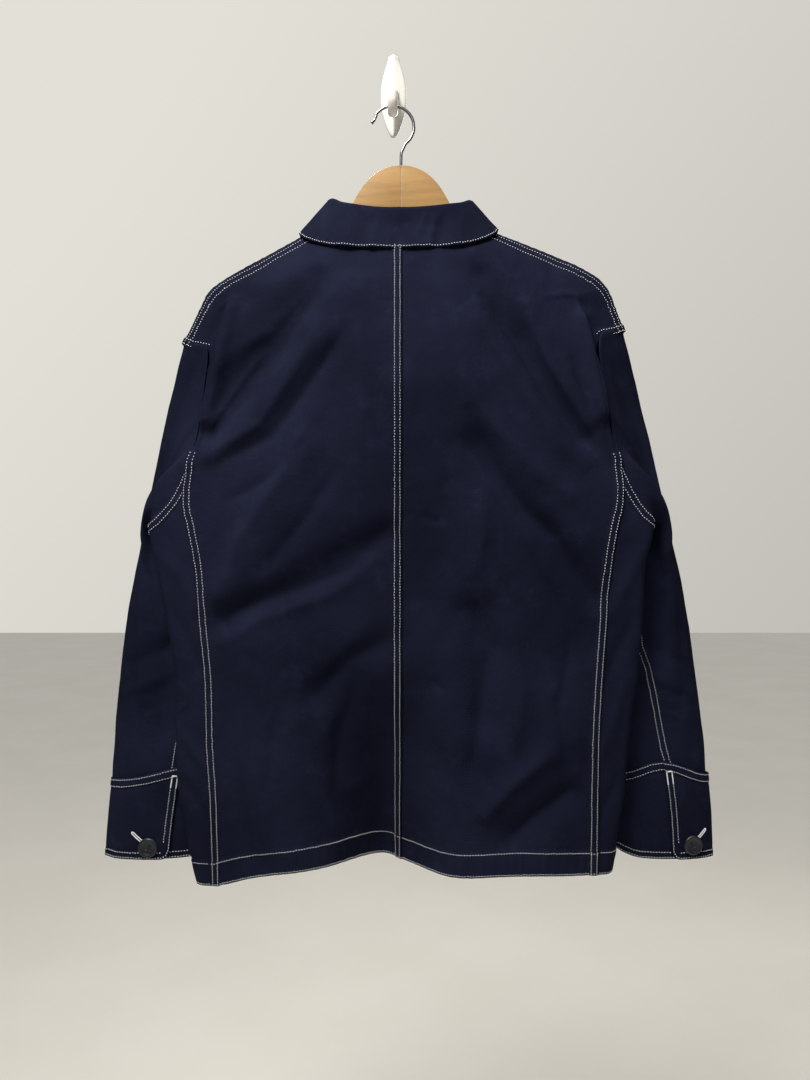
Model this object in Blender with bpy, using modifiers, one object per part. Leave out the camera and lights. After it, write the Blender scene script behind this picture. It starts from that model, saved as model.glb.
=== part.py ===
"""Chore jacket that hangs by its shoulders on a wooden hanger, from a hook on a wall.

World frame: the origin is the middle of the wall hook's back face, +Z is up and +Y runs into the
wall.  The jacket's back faces -Y and its front faces the wall.  The wearer's left is at -X.

The tables are in millimetres.  A place on the cloth is given by its side, its reach (the distance
out from the centre line), and its height z.  Mesh points are made in metres.
"""
import math
from collections import namedtuple

import bmesh
import bpy
from mathutils import Vector

MM = 0.001

# ---------------------------------------------------------------- driving dimensions, millimetres
CENTRE_X = 6.5            # the jacket hangs a little to the right of the wall hook
CLOTH = 1.6               # wall of one layer of twill with its seams
COLLAR_WALL = 2.4         # two layers
CUFF_WALL = 2.0           # two thin layers
SEAM_GAP = 0.3            # between two pieces at a seam
BODY_PULL = 0.25          # how far the edges of the body's panels stay back from their seams
RIDGE_PULL = 0.75         # the same along the shoulder ridge, where the edges lean together
SLEEVE_PULL = 0.9
SHOULDER_Y = -48.0        # plane of the hanger and of the shoulder seams
TURN_DEPTH = 9.0          # half of the thickness where the cloth turns round at its side
TURN_POWER = 2.2          # above 2 the turn is flatter on top, as over a hanger's wing
NECK_BACK_Z = -200.0
NECK_FRONT_Z = -275.0
FRONT_LAP = 16.0          # each front passes the centre line by this much
LAP_STEP = 2.4            # the left front lies this much outside the right one
LAP_RAMP = (34.0, 17.5)   # reaches between which the left front steps out
FRONT_HEM_Z = -882.0
VALLEY_X = -12.5          # the hem hangs in two lobes with one deep valley between them
VALLEY_HALF_WIDTH = 50.0
VALLEY_DEPTH = 66.0
VALLEY_TOP_Z = -600.0
VALLEY_FULL_Z = -880.0

BUTTON_RADIUS = 11.0
BUTTON_HEIGHT = 4.0
FRONT_BUTTON_TOP_Z = -300.0
FRONT_BUTTON_PITCH = 118.0
FRONT_BUTTON_COUNT = 5

WOOD_HALF = 5.0           # half of the hanger's thickness
WIRE_RADIUS = 1.7
WIRE_LOOP_RADIUS = 23.5
WIRE_LOOP_CENTRE = (0.0, -61.4)
STEM_X = 9.2
DOME_TOP_Z = -102.0

# ---------------------------------------------------------------- tables, millimetres
# Level sections of the body.  left and right are the reaches of the sides, side is the depth of
# the side turn, back and front are the depths at the centre, turn is how far in the side turn
# reaches, and the two full columns say how boxy the section is (small is boxy).
Section = namedtuple("Section", "z left right side back front turn full_back full_front")
SECTIONS = (
    Section(-165, 70.5, 61.0, -48, -82, -24, 14, 0.85, 0.80),
    Section(-188, 110.5, 120.5, -48, -89, -20, 14, 0.85, 0.80),
    Section(-206, 142.5, 167.5, -48, -93, -18, 14, 0.85, 0.80),
    Section(-222, 171.5, 203.5, -48, -96, -17, 14, 0.85, 0.90),
    Section(-236, 196.5, 225.5, -48, -98, -16, 12, 0.85, 1.00),
    Section(-246, 210.0, 233.0, -48, -100, -16, 10, 0.85, 1.10),
    Section(-260, 219.5, 239.5, -48, -102, -15, 9, 0.85, 1.20),
    Section(-275, 226.5, 245.0, -49, -104, -15, 8, 0.85, 1.30),
    Section(-291, 233.0, 251.5, -50, -106, -14, 8, 0.85, 1.40),
    Section(-305, 240.5, 254.5, -51, -107, -14, 8, 0.85, 1.50),
    Section(-400, 256.5, 264.5, -60, -108, -13, 8, 0.80, 2.20),
    Section(-507, 272.5, 279.5, -68, -104, -12, 8, 0.75, 2.60),
    Section(-550, 265.5, 270.5, -68, -102, -12, 8, 0.75, 2.60),
    Section(-600, 255.5, 267.5, -68, -100, -12, 8, 0.70, 2.60),
    Section(-640, 249.5, 264.5, -67, -99, -12, 8, 0.70, 2.60),
    Section(-675, 244.0, 261.5, -66, -98, -12, 8, 0.70, 2.60),
    Section(-725, 245.5, 254.5, -62, -97, -12, 8, 0.65, 2.50),
    Section(-790, 243.5, 249.5, -58, -95, -12, 8, 0.60, 2.20),
    Section(-850, 234.5, 241.5, -54, -92, -12, 8, 0.55, 1.60),
    Section(-905, 222.5, 232.5, -50, -90, -12, 8, 0.55, 1.20),
)

# The side seams lie on the back: reach of each at a height.
Seam = namedtuple("Seam", "z left right")
SIDE_SEAM = (
    Seam(-438, 227.5, 239.5),
    Seam(-483, 227.5, 237.5),
    Seam(-509, 222.5, 231.5),
    Seam(-540, 216.5, 226.5),
    Seam(-571, 212.5, 223.0),
    Seam(-610, 210.5, 220.0),
    Seam(-675, 205.0, 215.5),
    Seam(-740, 204.0, 213.0),
    Seam(-808, 200.5, 212.5),
    Seam(-905, 199.0, 212.5),
)

# Hem of the back: x is counted from the centre line, negative on the left.
HemSpot = namedtuple("HemSpot", "x z")
BACK_HEM = (
    HemSpot(-223, -901), HemSpot(-201, -899), HemSpot(-157, -887), HemSpot(-117, -880),
    HemSpot(-66, -876), HemSpot(-16, -880), HemSpot(4, -885), HemSpot(54, -886),
    HemSpot(114, -883), HemSpot(184, -886), HemSpot(233, -888),
)

# Armholes, between the shoulder tip, the top of the side seam and the underarm point.
Spot = namedtuple("Spot", "reach z")
Side = namedtuple("Side", "name sign neck_z tip_z seam_z underarm_z arm_back arm_under arm_bottom arm_front")
LEFT = Side(
    "left", -1, -173.0, -305.0, -441.0, -507.0,
    (Spot(229, -311), Spot(211, -316), Spot(210, -330), Spot(213.5, -361), Spot(218, -398)),
    (Spot(235, -462), Spot(245.5, -480.5), Spot(259, -495.5)),
    (Spot(263, -515), Spot(246, -520), Spot(226, -517), Spot(206, -500)),
    (Spot(221, -330), Spot(203, -370), Spot(194, -415), Spot(194, -460), Spot(206, -500)),
)
RIGHT = Side(
    "right", 1, -176.0, -291.0, -438.0, -501.0,
    (Spot(240, -296), Spot(224, -301), Spot(221, -318), Spot(226.5, -358), Spot(231.5, -390)),
    (Spot(246.5, -457), Spot(255.5, -473.5), Spot(266.5, -489)),
    (Spot(270, -509), Spot(253, -514), Spot(233, -511), Spot(213, -494)),
    (Spot(233, -320), Spot(213, -362), Spot(203, -408), Spot(202, -454), Spot(213, -494)),
)

# Soft folds, each a ridge (+) or trough (-) along a straight run; x is counted from the centre.
Fold = namedtuple("Fold", "x0 z0 x1 z1 width height")
BACK_FOLDS = (
    Fold(-114, -236, -190, -322, 20, 5),
    Fold(-84, -246, -200, -408, 15, -6),
    Fold(-78, -306, -196, -428, 18, 6),
    Fold(-99, -424, -186, -580, 20, 6),
    Fold(-12, -515, -186, -606, 15, -6),
    Fold(-10, -628, -84, -686, 18, -5),
    Fold(-150, -640, -128, -850, 22, 5),
    Fold(-182, -272, -204, -392, 10, 9),
    Fold(91, -242, 200, -410, 15, -6),
    Fold(140, -276, 204, -392, 16, 4),
    Fold(82, -424, 208, -580, 17, -6),
    Fold(80, -478, 82, -566, 26, 5),
    Fold(81, -600, 94, -710, 24, -7),
    Fold(157, -755, 97, -812, 20, 6),
    Fold(184, -797, 127, -837, 17, -5),
    Fold(203, -282, 221, -386, 10, 9),
)
FRONT_FOLDS = (
    Fold(-130, -330, -60, -470, 20, -4),
    Fold(134, -340, 70, -480, 20, -4),
    Fold(-120, -560, -104, -830, 24, 5),
    Fold(128, -580, 110, -840, 24, 5),
    Fold(-52, -520, -66, -720, 18, -4),
    Fold(60, -560, 58, -760, 18, -4),
)
SLEEVE_FOLDS = (
    Fold(-262, -430, -284, -560, 9, -4),
    Fold(-290, -560, -282, -700, 10, 4),
    Fold(-252, -640, -268, -770, 10, -4),
    Fold(268, -420, 296, -560, 9, -4),
    Fold(306, -560, 300, -700, 10, 4),
    Fold(276, -640, 300, -770, 10, -4),
)

# Level rings of the sleeves below the armhole: left and right are the reaches of the outer side,
# middle is the depth of the ring's centre and depth is half of its thickness.
SleeveRing = namedtuple("SleeveRing", "z left right width middle depth")
SLEEVE_RINGS = (
    SleeveRing(-560, 300.0, 319.5, 108, -29, 22),
    SleeveRing(-600, 308.0, 326.5, 118, -29, 22),
    SleeveRing(-637, 312.0, 332.5, 124, -29, 21),
    SleeveRing(-684, 317.5, 339.5, 126, -29, 20),
    SleeveRing(-740, 322.5, 346.5, 121, -29, 19),
    SleeveRing(-786, 326.0, 349.5, 112, -28, 18),
    SleeveRing(-835, 330.5, 353.5, 108, -28, 17),
    SleeveRing(-881, 334.5, 355.5, 106, -28, 16),
)

SLEEVE_RING_TILT = 20.0           # the first ring is this much lower on its inner side

# Sleeve angles at the ends of the armhole's runs: down the back, round the side, in along the
# front's bottom, and up the front.  0 is the sleeve's outer side.
RUN_ANGLES = (0.0, 28.5, 61.5, 172.0, 360.0)

# Direction in which the sleeve leaves the armhole, by angle.
Leave = namedtuple("Leave", "angle out ahead down")
SLEEVE_LEAVE = (
    Leave(0, 0.25, 0.20, 0.95), Leave(25, 0.77, 0.59, 0.47), Leave(28.5, 1.19, 0.23, 0.14),
    Leave(45, 1.70, 0.60, -0.12), Leave(61.5, 0.46, 1.66, -0.52), Leave(100, -0.18, 0.77, 0.49),
    Leave(172, 0.68, 0.67, 0.26), Leave(270, 0.40, 0.70, 0.45), Leave(330, 0.40, 0.40, 0.80),
    Leave(360, 0.25, 0.20, 0.95),
)

# Cuffs: the height of the seam on top, its tilt (the outer side is lower by twice this), the
# angles in degrees of the under end and of the upper end that laps over it, and the button.
Cuff = namedtuple("Cuff", "side top_z tilt under_angle upper_angle button_angle button_z")
CUFFS = (
    Cuff(LEFT, -786, 7, 78, 115, 90, -866),
    Cuff(RIGHT, -782, 6, 46, 86, 61, -864),
)
CUFF_BOTTOM_Z = -880.0
CUFF_LAP_RAMP = (50.0, 24.0)      # degrees before the under end where the upper end steps out
CUFF_STEP = 2.9

# Collar stations from the centre back (0) over the shoulder (1) to the centre front (2): how far
# the stand rises and how far it leans in.
Station = namedtuple("Station", "place rise lean")
COLLAR = (
    Station(0.0, 34, 6), Station(0.5, 32, 9), Station(1.0, 25, 14),
    Station(1.5, 15, 4), Station(2.0, 11, 1),
)
COLLAR_BACK_Z = -213.0
COLLAR_SIDE_REACH = 110.0
COLLAR_POINT = Spot(70.0, -338.0)
COLLAR_END = 10.0                 # the collar's ends stop this far from the centre line
ROLL = 3.2                        # radius of the fold where the collar turns over
FALL_CLEAR = 2.6                  # from the middle of the fall's edge to what it lies on
FALL_LIFT = 4.8                   # how far the fall's edge stands above the shoulder
STAND_GAP = 1.4                   # how far the stand's foot is above the neck line

# Fractions along each run of cloth, which the pieces on both sides of a seam share.
NECK_BACK_STEPS = (0.0, 0.2, 0.4, 0.6, 0.8, 0.92, 0.98, 1.0)
NECK_FRONT_STEPS = (0.0, 0.012, 0.04, 0.12, 0.28, 0.46, 0.63, 0.77, 0.87, 1.0)
SHOULDER_STEPS = (0.0, 0.09, 0.2, 0.32, 0.45, 0.6, 0.74, 0.87, 1.0)
FRONT_COLUMNS = (0.0, 0.06, 0.12, 0.18, 0.24, 0.30, 0.36, 0.42, 0.48, 0.54, 0.60, 0.66, 0.72,
                 0.78, 0.83, 0.88, 0.935, 1.0)
FOOT_COLUMNS = (0.0, 0.035, 0.08, 0.13, 0.18, 0.23, 0.28, 0.33, 0.38, 0.43, 0.48, 0.53, 0.58, 0.63,
                0.68, 0.73, 0.78, 0.825, 0.87, 0.91, 0.95, 1.0)
BACK_DROPS = (0.0, 0.0017, 0.005, 0.010, 0.022, 0.045, 0.08, 0.12, 0.165, 0.21, 0.26)
BACK_ARM_STEPS = (0.0, 0.006, 0.03, 0.12, 0.19, 0.27, 0.38, 0.52, 0.68, 0.84, 1.0)
FRONT_DROPS = (0.0, 0.0035, 0.01, 0.025, 0.05, 0.10, 0.2, 0.35, 0.52, 0.72, 1.0)
FRONT_ARM_STEPS = (0.0, 0.007, 0.03, 0.10, 0.17, 0.27, 0.39, 0.52, 0.67, 0.83, 1.0)
UNDER_STEPS = (0.0, 0.35, 0.65, 0.85, 1.0)
BOTTOM_STEPS = (0.0, 0.2, 0.45, 0.75, 1.0)
SIDE_COLUMNS = (1.0, 0.62, 0.28, 0.13, 0.0)
SEAM_ROWS = 16
SLEEVE_HEAD_STEPS = (0.0, 0.12, 0.26, 0.42, 0.6, 0.8, 1.0)
CUFF_COLUMNS = 28


# ---------------------------------------------------------------- small mathematics
def smooth(value):
    """Ease from 0 to 1 as value goes from 0 to 1."""
    value = min(max(value, 0.0), 1.0)
    return value * value * (3.0 - 2.0 * value)


def curve_value(knots, values, at):
    """Value at one place of a smooth curve through rising knots that never overshoots them."""
    last = len(knots) - 1
    at = min(max(at, knots[0]), knots[last])
    piece = next(i for i in range(1, last + 1) if at <= knots[i]) - 1
    steps = [(values[i + 1] - values[i]) / (knots[i + 1] - knots[i]) for i in range(last)]

    def slope(i):
        if i == 0 or i == last:
            return steps[0 if i == 0 else last - 1]
        if steps[i - 1] * steps[i] <= 0.0:
            return 0.0
        return 2.0 * steps[i - 1] * steps[i] / (steps[i - 1] + steps[i])

    width = knots[piece + 1] - knots[piece]
    t = (at - knots[piece]) / width
    rise = t * t * (3.0 - 2.0 * t)
    return (values[piece] * (1.0 - rise) + values[piece + 1] * rise
            + width * (t * (1.0 - t) ** 2 * slope(piece) - t * t * (1.0 - t) * slope(piece + 1)))


def column(rows, name, z):
    """One named column of a table at height z; the rows run downwards."""
    return curve_value([-row.z for row in rows], [getattr(row, name) for row in rows], -z)


def resample(points, fractions):
    """Points at the given fractions of the length of a smooth route through points."""
    lengths = [0.0]
    for first, second in zip(points, points[1:]):
        lengths.append(lengths[-1] + math.dist(first, second))
    axes = list(zip(*points))
    return [tuple(curve_value(lengths, axis, part * lengths[-1]) for axis in axes)
            for part in fractions]


def fold_height(folds, x, z):
    """Sum of the soft folds at a place; x is counted from the centre line."""
    total = 0.0
    for fold in folds:
        run_x, run_z = fold.x1 - fold.x0, fold.z1 - fold.z0
        along = ((x - fold.x0) * run_x + (z - fold.z0) * run_z) / (run_x ** 2 + run_z ** 2)
        along = min(max(along, 0.0), 1.0)
        away = math.hypot(x - fold.x0 - along * run_x, z - fold.z0 - along * run_z)
        total += fold.height * math.exp(-(away / fold.width) ** 2)
    return total


# ---------------------------------------------------------------- form of the body
def side_reach(side, z):
    """Reach of the body's outline at height z."""
    return column(SECTIONS, side.name, z)


def neck_reach(side):
    """Reach of the point where the neck line meets the shoulder seam."""
    return side_reach(side, side.neck_z)


def turn_depth(inset, turn):
    """How far the cloth has come round at a distance in from its side."""
    left = max(0.0, 1.0 - inset / turn)
    return TURN_DEPTH * (1.0 - left ** TURN_POWER) ** (1.0 / TURN_POWER)


def sheet_depth(side, reach, z, facing):
    """Depth y of the back (facing -1) or front (facing 1) cloth at a place."""
    edge = side_reach(side, z)
    share = min(abs(reach) / edge, 1.0)
    inset = (1.0 - share) * edge
    start = column(SECTIONS, "side", z)
    turn = turn_depth(inset, column(SECTIONS, "turn", z))
    full = column(SECTIONS, "full_back" if facing < 0 else "full_front", z)
    middle = column(SECTIONS, "back" if facing < 0 else "front", z)
    swell = (abs(middle - start) - TURN_DEPTH) * (1.0 - share ** 2) ** full
    x = side.sign * reach
    folds = fold_height(BACK_FOLDS if facing < 0 else FRONT_FOLDS, x, z) * smooth(inset / 22.0)
    y = start + facing * (turn + swell + folds)
    if facing < 0:
        deep = smooth((VALLEY_TOP_Z - z) / (VALLEY_TOP_Z - VALLEY_FULL_Z))
        y += VALLEY_DEPTH * deep * math.exp(-((x - VALLEY_X) / VALLEY_HALF_WIDTH) ** 2)
    elif side is LEFT:
        y += LAP_STEP * smooth((LAP_RAMP[0] - reach) / (LAP_RAMP[0] - LAP_RAMP[1]))
    return y


def place(side, reach, z, facing):
    """World point of a place on the body's outer surface, millimetres."""
    return (CENTRE_X + side.sign * reach, sheet_depth(side, reach, z, facing), z)


def wrapped_place(side, wrap, z):
    """Body point at a distance round from the side: wrap < 0 is on the back, > 0 on the front."""
    turn = column(SECTIONS, "turn", z)
    quarter = turn * math.pi / 2.0
    inset = turn * (1.0 - math.cos(min(abs(wrap), quarter) / turn)) + max(abs(wrap) - quarter, 0.0)
    return place(side, side_reach(side, z) - inset, z, 1 if wrap > 0 else -1)


def wrap_of(side, reach, z):
    """Distance round from the side of a place that lies past the side turn."""
    turn = column(SECTIONS, "turn", z)
    inset = max(side_reach(side, z) - reach, 0.0)
    if inset >= turn:
        return inset - turn + turn * math.pi / 2.0
    return turn * math.acos(1.0 - inset / turn)


def shoulder_line(side):
    """Places along the shoulder seam, from the tip up to the neck."""
    count = 40
    heights = [side.tip_z + (side.neck_z - side.tip_z) * i / count for i in range(count + 1)]
    return resample([(side_reach(side, z), z) for z in heights], SHOULDER_STEPS)


def neck_back(side, part):
    """Place on the back neck line: part 0 is the centre back, 1 the shoulder."""
    rise = side.neck_z - NECK_BACK_Z
    angle = part * math.pi / 2.0
    return (neck_reach(side) * math.sin(angle), NECK_BACK_Z + rise * (1.0 - math.cos(angle)))


def neck_front(side, part):
    """Place on the front neck line: part 0 is the shoulder, 1 the centre front."""
    angle = part * math.pi / 2.0
    drop = side.neck_z - NECK_FRONT_Z
    return (neck_reach(side) * math.cos(angle), side.neck_z - drop * math.sin(angle))


def arm_back(side):
    """Places down the back armhole, from the shoulder tip to the side seam."""
    tip = (side_reach(side, side.tip_z), side.tip_z)
    foot = (column(SIDE_SEAM, side.name, side.seam_z), side.seam_z)
    return resample([tip, *side.arm_back, foot], BACK_ARM_STEPS)


def arm_under(side):
    """Places on the wrapped front's armhole, from the side seam out to the underarm point."""
    head = (column(SIDE_SEAM, side.name, side.seam_z), side.seam_z)
    foot = (side_reach(side, side.underarm_z), side.underarm_z)
    return resample([head, *side.arm_under, foot], UNDER_STEPS)


def arm_bottom(side):
    """Places along the front armhole's bottom, from the underarm point in to its corner."""
    head = (side_reach(side, side.underarm_z), side.underarm_z)
    return resample([head, *side.arm_bottom], BOTTOM_STEPS)


def arm_front(side):
    """Places down the front armhole, from the shoulder tip to its corner."""
    tip = (side_reach(side, side.tip_z), side.tip_z)
    return resample([tip, *side.arm_front], FRONT_ARM_STEPS)


def back_hem_z(x):
    """Height of the back hem; x is counted from the centre line."""
    return curve_value([spot.x for spot in BACK_HEM], [spot.z for spot in BACK_HEM], x)


def seam_foot(side):
    """Height at which the side seam meets the hem."""
    reach = column(SIDE_SEAM, side.name, FRONT_HEM_Z)
    return back_hem_z(side.sign * reach)


def seam_heights(side):
    """Heights of the rows that back and front share along the side seam."""
    foot = seam_foot(side)
    return [side.seam_z + (foot - side.seam_z) * i / SEAM_ROWS for i in range(SEAM_ROWS + 1)]


# ---------------------------------------------------------------- mesh and object helpers
def make_collections():
    """Empty the scene and return the jacket's collection and the cutters' collection."""
    for item in list(bpy.data.objects):
        bpy.data.objects.remove(item, do_unlink=True)
    made = []
    for name in ("chore_jacket", "cutters"):
        group = bpy.data.collections.new(name)
        bpy.context.scene.collection.children.link(group)
        made.append(group)
    return made


def make_material(name, colour, roughness, metallic=0.0):
    """Principled material with one colour, roughness and metallic value."""
    material = bpy.data.materials.new(name)
    material.use_nodes = True
    shader = material.node_tree.nodes["Principled BSDF"]
    shader.inputs["Base Color"].default_value = (*colour, 1.0)
    shader.inputs["Roughness"].default_value = roughness
    shader.inputs["Metallic"].default_value = metallic
    return material


def add_object(group, name, data, material):
    """Link a new object to a collection, with its material."""
    data.materials.append(material)
    item = bpy.data.objects.new(name, data)
    group.objects.link(item)
    return item


def pull_in(mesh, amount, ridge_amount):
    """Draw the open edges of a sheet back, so that it stays clear at its seams."""
    moves = {}
    for vertex in mesh.verts:
        inward = []
        ridge_y = column(SECTIONS, "side", vertex.co.z / MM)
        ridge = abs(vertex.co.y / MM - ridge_y) < 0.05
        for edge in vertex.link_edges:
            if not edge.is_boundary:
                continue
            face = edge.link_faces[0]
            along = (edge.verts[1].co - edge.verts[0].co).normalized()
            centre = face.calc_center_median() - edge.verts[0].co
            across = (centre - along * centre.dot(along)).normalized()
            inward.append(across)
        if len(inward) == 2:
            both = inward[0] + inward[1]
            pull = ridge_amount if ridge else amount
            moves[vertex] = both * pull / max(0.5, 1.0 + inward[0].dot(inward[1]))
    for vertex, move in moves.items():
        vertex.co += move


def cloth_sheet(group, name, blocks, wall, material, flip, pull, centred=False):
    """Sheet of cloth from blocks of rows of points in millimetres, thickened inwards."""
    mesh = bmesh.new()
    for rows in blocks:
        spare = set(mesh.verts)
        bmesh.ops.create_grid(mesh, x_segments=len(rows[0]) - 1, y_segments=len(rows) - 1, size=1.0)
        fresh = [vertex for vertex in mesh.verts if vertex not in spare]
        for vertex, point in zip(fresh, [point for row in rows for point in row]):
            vertex.co = Vector(point) * MM
    bmesh.ops.remove_doubles(mesh, verts=mesh.verts, dist=0.00005)
    if flip:
        bmesh.ops.reverse_faces(mesh, faces=mesh.faces)
    pull_in(mesh, pull * MM, RIDGE_PULL * MM)
    for face in mesh.faces:
        face.smooth = True
    data = bpy.data.meshes.new(name)
    mesh.to_mesh(data)
    mesh.free()
    item = add_object(group, name, data, material)
    wall_modifier = item.modifiers.new("wall", "SOLIDIFY")
    wall_modifier.thickness = wall * MM
    wall_modifier.offset = 0.0 if centred else -1.0
    return item


def outline_solid(group, name, outline, half_depth, round_edge, material):
    """Solid of even depth from an outline in X and Z, with rounded edges, set on the XZ plane."""
    curve = bpy.data.curves.new(name, "CURVE")
    curve.dimensions = "2D"
    curve.fill_mode = "BOTH"
    curve.extrude = half_depth * MM
    line = curve.splines.new("POLY")
    line.points.add(len(outline) - 1)
    line.use_cyclic_u = True
    for point, (x, z) in zip(line.points, outline):
        point.co = (x * MM, z * MM, 0.0, 1.0)
    item = add_object(group, name, curve, material)
    item.rotation_euler = (math.pi / 2.0, 0.0, 0.0)
    weld = item.modifiers.new("weld", "WELD")
    weld.merge_threshold = 0.00001
    bevel = item.modifiers.new("round", "BEVEL")
    bevel.width = round_edge * MM
    bevel.segments = 2
    bevel.limit_method = "ANGLE"
    bevel.angle_limit = math.radians(50.0)
    return item


def wire_solid(group, name, points, radius, material):
    """Round wire along points in millimetres."""
    curve = bpy.data.curves.new(name, "CURVE")
    curve.dimensions = "3D"
    curve.bevel_depth = radius * MM
    curve.bevel_resolution = 2
    curve.use_fill_caps = True
    line = curve.splines.new("POLY")
    line.points.add(len(points) - 1)
    for point, place_mm in zip(line.points, points):
        point.co = (*(value * MM for value in place_mm), 1.0)
    return add_object(group, name, curve, material)


# ---------------------------------------------------------------- cloth pieces
def back_rows(side):
    """Rows of a back panel, from the neck and shoulder down to the hem."""
    top = [neck_back(side, part) for part in NECK_BACK_STEPS] + shoulder_line(side)[::-1][1:]
    corner = len(NECK_BACK_STEPS) - 1
    last = len(top) - 1
    foot = seam_foot(side)
    foot_reach = column(SIDE_SEAM, side.name, foot)
    hem = []
    for i in range(last + 1):
        reach = foot_reach * i / last
        hem.append((reach, back_hem_z(side.sign * reach)))
    outer = arm_back(side) + [(column(SIDE_SEAM, side.name, z), z) for z in seam_heights(side)][1:]
    below = [BACK_DROPS[-1] + (1.0 - BACK_DROPS[-1]) * i / SEAM_ROWS for i in range(1, SEAM_ROWS + 1)]
    rows = []
    for drop, edge in zip([*BACK_DROPS, *below], outer):
        lift = [edge[k] - (top[last][k] * (1.0 - drop) + hem[last][k] * drop) for k in (0, 1)]
        row = []
        for i in range(last + 1):
            weight = max(0.0, (i - corner) / (last - corner))
            spot = [top[i][k] * (1.0 - drop) + hem[i][k] * drop + lift[k] * weight for k in (0, 1)]
            row.append(place(side, spot[0], spot[1], -1))
        rows.append(row)
    return rows


def front_heads(side):
    """Top of each column of a front's lower block, from the underarm point to the centre front.

    Each is the share of the way round from the side to the centre line, and the height.
    """
    heads = [(wrap_of(side, reach, z) / wrap_of(side, 0.0, z), z) for reach, z in arm_bottom(side)]
    corner_share, corner_z = heads[-1]
    for part in FRONT_COLUMNS[1:]:
        heads.append((corner_share + (1.0 - corner_share) * part, corner_z))
    return heads


def front_point(side, share, z):
    """Point of a front at a share of the way round from its side to the centre line."""
    return wrapped_place(side, share * wrap_of(side, 0.0, z), z)


def front_upper_rows(side):
    """Rows of a front above the corner of its armhole."""
    top = shoulder_line(side) + [neck_front(side, part) for part in NECK_FRONT_STEPS][1:]
    bottom = []
    for share, z in front_heads(side)[len(BOTTOM_STEPS) - 1:]:
        point = front_point(side, share, z)
        bottom.append((side.sign * (point[0] - CENTRE_X), z))
    top.append((-FRONT_LAP, NECK_FRONT_Z))
    bottom.append((-FRONT_LAP, bottom[-1][1]))
    corner = len(SHOULDER_STEPS) - 1
    rows = []
    for drop, edge in zip(FRONT_DROPS, arm_front(side)):
        lift = [edge[k] - (top[0][k] * (1.0 - drop) + bottom[0][k] * drop) for k in (0, 1)]
        row = []
        for i in range(len(top)):
            weight = smooth(1.0 - i / corner)
            spot = [top[i][k] * (1.0 - drop) + bottom[i][k] * drop + lift[k] * weight for k in (0, 1)]
            row.append(place(side, spot[0], spot[1], 1))
        rows.append(row)
    return rows


def front_lower_rows(side):
    """Rows of a front from the armhole to the hem, with the strip that wraps to the back."""
    under = arm_under(side)
    head_wrap = wrap_of(side, *under[0])
    top_share = [wrap_of(side, *spot) / head_wrap for spot in under]
    heads = front_heads(side)
    foot = seam_foot(side)
    edge_foot = back_hem_z(side.sign * side_reach(side, foot))
    rows = []
    for row_number, seam_z in enumerate(seam_heights(side)):
        drop = row_number / SEAM_ROWS
        seam_wrap = wrap_of(side, column(SIDE_SEAM, side.name, seam_z), seam_z)
        row = []
        for i, share in enumerate(SIDE_COLUMNS[:-1]):
            hem_z = foot * share + edge_foot * (1.0 - share)
            z = under[i][1] * (1.0 - drop) + hem_z * drop
            wrap = (top_share[i] * (1.0 - drop) + share * drop) * seam_wrap
            row.append(wrapped_place(side, -wrap, z))
        for (head_share, head_z), foot_share in zip(heads, FOOT_COLUMNS):
            hem_z = edge_foot + (FRONT_HEM_Z - edge_foot) * smooth(foot_share)
            z = head_z * (1.0 - drop) + hem_z * drop
            row.append(front_point(side, head_share * (1.0 - drop) + foot_share * drop, z))
        row.append(place(side, -FRONT_LAP, row[-1][2], 1))
        rows.append(row)
    return rows


def armhole_ring(side):
    """World points round the armhole, each with the angle of the sleeve that hangs from it."""
    back = [place(side, *spot, -1) for spot in arm_back(side)]
    under = [place(side, *spot, -1) for spot in arm_under(side)]
    bottom = [place(side, *spot, 1) for spot in arm_bottom(side)]
    front = [place(side, *spot, 1) for spot in arm_front(side)][::-1]
    ring = [(back[0], 0.0)]
    for run, start, end in zip((back, under, bottom, front), RUN_ANGLES, RUN_ANGLES[1:]):
        lengths = [0.0]
        for first, second in zip(run, run[1:]):
            lengths.append(lengths[-1] + math.dist(first, second))
        for point, length in list(zip(run, lengths))[1:]:
            ring.append((point, math.radians(start + (end - start) * length / lengths[-1])))
    return ring


def sleeve_place(side, angle, z, grow=0.0):
    """World point on a level ring of a sleeve; grow moves it outwards."""
    reach = column(SLEEVE_RINGS, side.name, z)
    half = column(SLEEVE_RINGS, "width", z) / 2.0
    depth = column(SLEEVE_RINGS, "depth", z)
    x = side.sign * (reach - half + (half + grow) * math.cos(angle))
    y = column(SLEEVE_RINGS, "middle", z) - (depth + grow) * math.sin(angle)
    return (CENTRE_X + x, y, z)


def cuff_top(cuff, angle):
    """Height of the seam between sleeve and cuff at an angle."""
    return cuff.top_z - cuff.tilt * math.cos(angle)


def leave_value(name, angle):
    """One named column of the sleeve's leaving directions at an angle round the armhole."""
    knots = [row.angle for row in SLEEVE_LEAVE]
    return curve_value(knots, [getattr(row, name) for row in SLEEVE_LEAVE], math.degrees(angle))


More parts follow.
